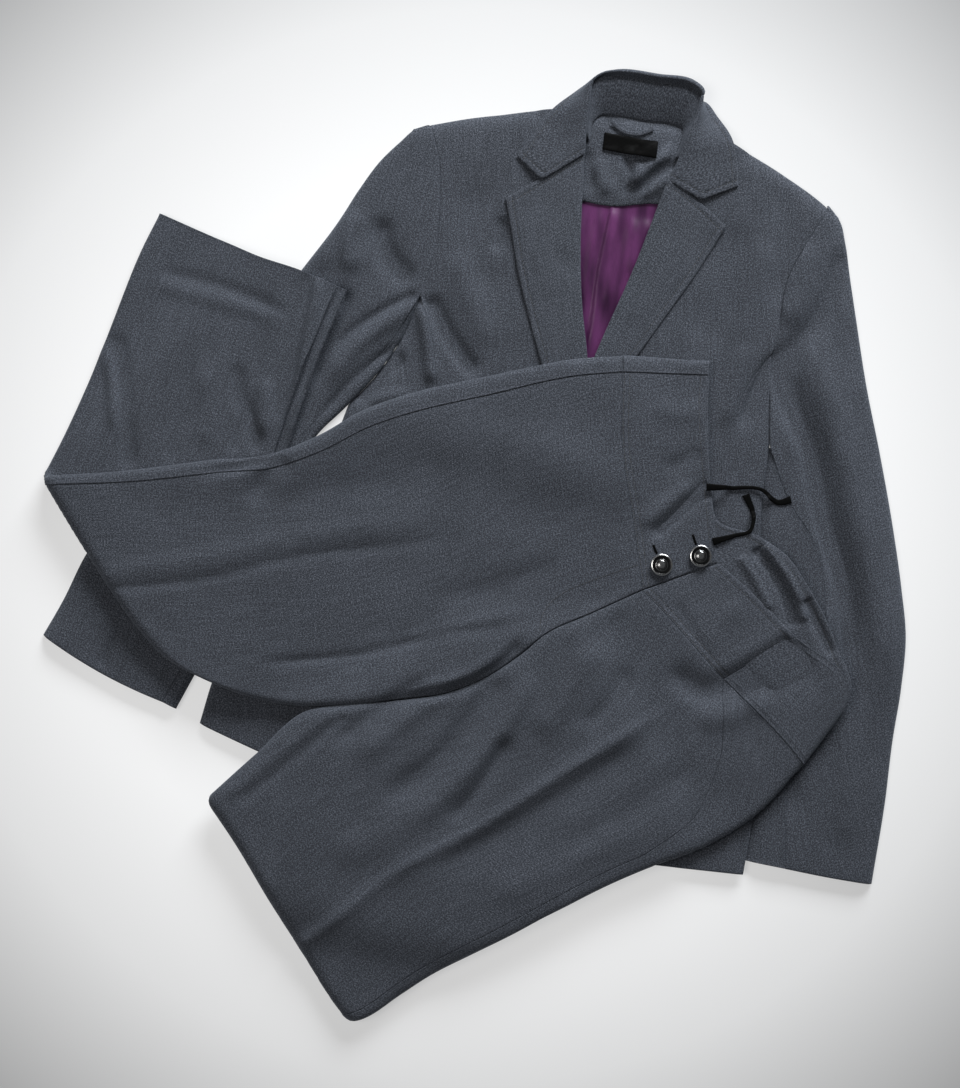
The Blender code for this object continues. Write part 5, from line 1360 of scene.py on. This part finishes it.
def lining():
    """Purple satin: smooth, with sheen along its threads, and painted highlights and painted fold shade as
    long lighter and darker streaks in its colour.
    """
    cloth = Finish("lining", 0.44, Sheen_Weight=0.35, Sheen_Roughness=0.3, Anisotropic=0.6,
                   Specular_IOR_Level=0.4)
    threads = cloth.varied((0.35, 6, 1.0), 0.88, 1.12)
    # Painted highlights and shade: the purple runs from dark to light in long streaks, standing in for
    # satin highlights and the shade in its folds.
    purple_with_painted_sheen_and_shade = cloth.varied((15, 70, 1.5), (0.028, 0.005, 0.028), (0.125, 0.030, 0.115))
    cloth.colour(cloth.times(purple_with_painted_sheen_and_shade, threads))
    under = cloth.bump(cloth.noise(7, 30, 3.0), 0.5, 0.5)
    cloth.bump(cloth.noise(0.35, 3.0, 1.0), 0.05, 0.4, under)
    return cloth.material


def satin():
    """Black woven ribbon with fine ribs across it."""
    cloth = Finish("satin", 0.5, Specular_IOR_Level=0.03)
    cloth.colour(cloth.varied((0.6, 2.0, 1.0), 0.0015, 0.004))
    cloth.bump(cloth.bands(4.0, "Y", Distortion=0.4), 0.08, 0.7)
    return cloth.material


def button_metal():
    """Polished metal with fine wear, with painted shade in the groove between its rim and its middle, where
    its colour is near black.
    """
    metal = Finish("button_metal", 0.2, Metallic=1.0)
    radius = metal.node("ShaderNodeSeparateXYZ", {"Vector": metal.grain}).outputs["X"]
    # Colour by distance from the middle; the near black stops from 0.62 to 0.87 are painted shade in the
    # groove.
    metal_tones_and_groove_shade = [(0.26, 0.42), (0.34, 0.07), (0.42, 0.32), (0.55, 0.34), (0.62, 0.04), (0.87, 0.05),
             (0.92, 0.6)]
    ring = metal.ramp(radius, metal_tones_and_groove_shade)
    where = metal.node("ShaderNodeTexCoord").outputs["Object"]
    wear = metal.node("ShaderNodeTexNoise", {"Vector": where, "Scale": 900.0, "Detail": 3.0}).outputs["Fac"]
    metal.colour(metal.times(ring, metal.ramp(wear, [(0.3, 0.7), (0.7, 1.0)])))
    rough = metal.node("ShaderNodeMapRange", {"Value": wear, "To Min": 0.13, "To Max": 0.3})
    metal.tree.links.new(rough.outputs["Result"], metal.shader.inputs["Roughness"])
    metal.bump(wear, 0.02, 0.3)
    return metal.material


def thread():
    """Dark sewing thread, twisted."""
    cotton = Finish("thread", 0.7, Sheen_Weight=0.2)
    cotton.colour(cotton.varied((0.3, 0.6, 1.0), 0.006, 0.016))
    cotton.bump(cotton.bands(2.0, "DIAGONAL"), 0.05, 0.6)
    return cotton.material


def white_floor():
    """White table with painted light: it glows so that shadows stay faint, and its colour and glow grow
    darker towards the corners as painted fall-off of the light.
    """
    white = Finish("white_floor", 0.6, Emission_Strength=1.0)
    where = white.node("ShaderNodeTexCoord").outputs["Object"]
    length = white.node("ShaderNodeVectorMath", {0: where}, operation="LENGTH").outputs["Value"]
    # Painted shade: the colour darkens away from the middle, standing in for the light falling off towards
    # the corners.
    white.colour(white.ramp(length, [(0.36, 0.42), (0.50, 0.36), (0.70, 0.16)]))
    # Painted light: the table glows, most in the middle, so that shadows on it stay faint.
    glow = white.ramp(length, [(0.36, 0.50), (0.50, 0.40), (0.70, 0.18)])
    white.tree.links.new(glow, white.shader.inputs["Emission Color"])
    return white.material


def lay_floor():
    """The table under the suit."""
    half = FLOOR_SIZE / 2 * MM
    mesh = bpy.data.meshes.new("floor")
    corners = [(-half, -half, 0), (half, -half, 0), (half, half, 0), (-half, half, 0)]
    mesh.from_pydata(corners, [], [(0, 1, 2, 3)])
    mesh.materials.append(white_floor())
    floor = bpy.data.objects.new("floor", mesh)
    floor.location.z = -FLOOR_DROP * MM
    bpy.context.scene.collection.objects.link(floor)


def daylight():
    """Faint light from all round, and a window at the photograph's top."""
    world = bpy.data.worlds.new("daylight")
    bpy.context.scene.world = world
    world.use_nodes = True
    world.node_tree.nodes["Background"].inputs["Color"].default_value = WORLD_COLOUR
    world.node_tree.nodes["Background"].inputs["Strength"].default_value = WORLD_LIGHT
    for name, spot, size, power, tint in LIGHTS:
        light = bpy.data.lights.new(name, "AREA")
        light.shape = "RECTANGLE"
        light.size, light.size_y = size
        light.energy = power
        light.color = tint
        lamp = bpy.data.objects.new(name, light)
        lamp.location = spot
        lamp.rotation_euler = (-Vector(spot)).to_track_quat("-Z", "Y").to_euler()
        bpy.context.scene.collection.objects.link(lamp)


def camera_above():
    """The camera, straight above the middle of the photograph."""
    camera = bpy.data.cameras.new("camera")
    camera.sensor_fit = "HORIZONTAL"
    camera.sensor_width = SENSOR
    camera.lens = SENSOR * CAMERA_HEIGHT / (PHOTO_WIDTH * PIXEL)
    camera.clip_end = 20
    eye = bpy.data.objects.new("camera", camera)
    middle = [(value - SHIFT[k]) * MM for k, value in enumerate(PHOTO_MIDDLE)]
    eye.location = (*middle, CAMERA_HEIGHT * MM)
    bpy.context.scene.collection.objects.link(eye)
    bpy.context.scene.camera = eye
    bpy.context.scene.view_settings.view_transform = "Standard"


materials = {"suiting": suiting(), "lining": lining(), "satin": satin(), "button_metal": button_metal(),
             "thread": thread()}

# How far the part was moved to stand over its origin, read off one button
button_low, button_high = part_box(BUTTONS[0][0])
button_at = place(TROUSERS, np.array(BUTTONS[0][1:], float), 0.0)
SHIFT = np.array([button_at[0] - (button_low.x + button_high.x) / 2 / MM,
                  button_at[1] - (button_low.y + button_high.y) / 2 / MM, 0.0])


def main():
    """Builds every piece, then the stage."""
    below = HeightMap()
    jacket_back(below)
    neck_facing(below)
    back_lining(below)
    fronts(below)
    side_fronts(below)
    right_sleeve(below)
    left_sleeve(below)
    lapels(below)
    collar_fall()
    collar_stand()
    label_and_loop(below)
    trousers(below)
    fastenings(below)
    stitching()
    lay_floor()
    daylight()
    camera_above()


main()
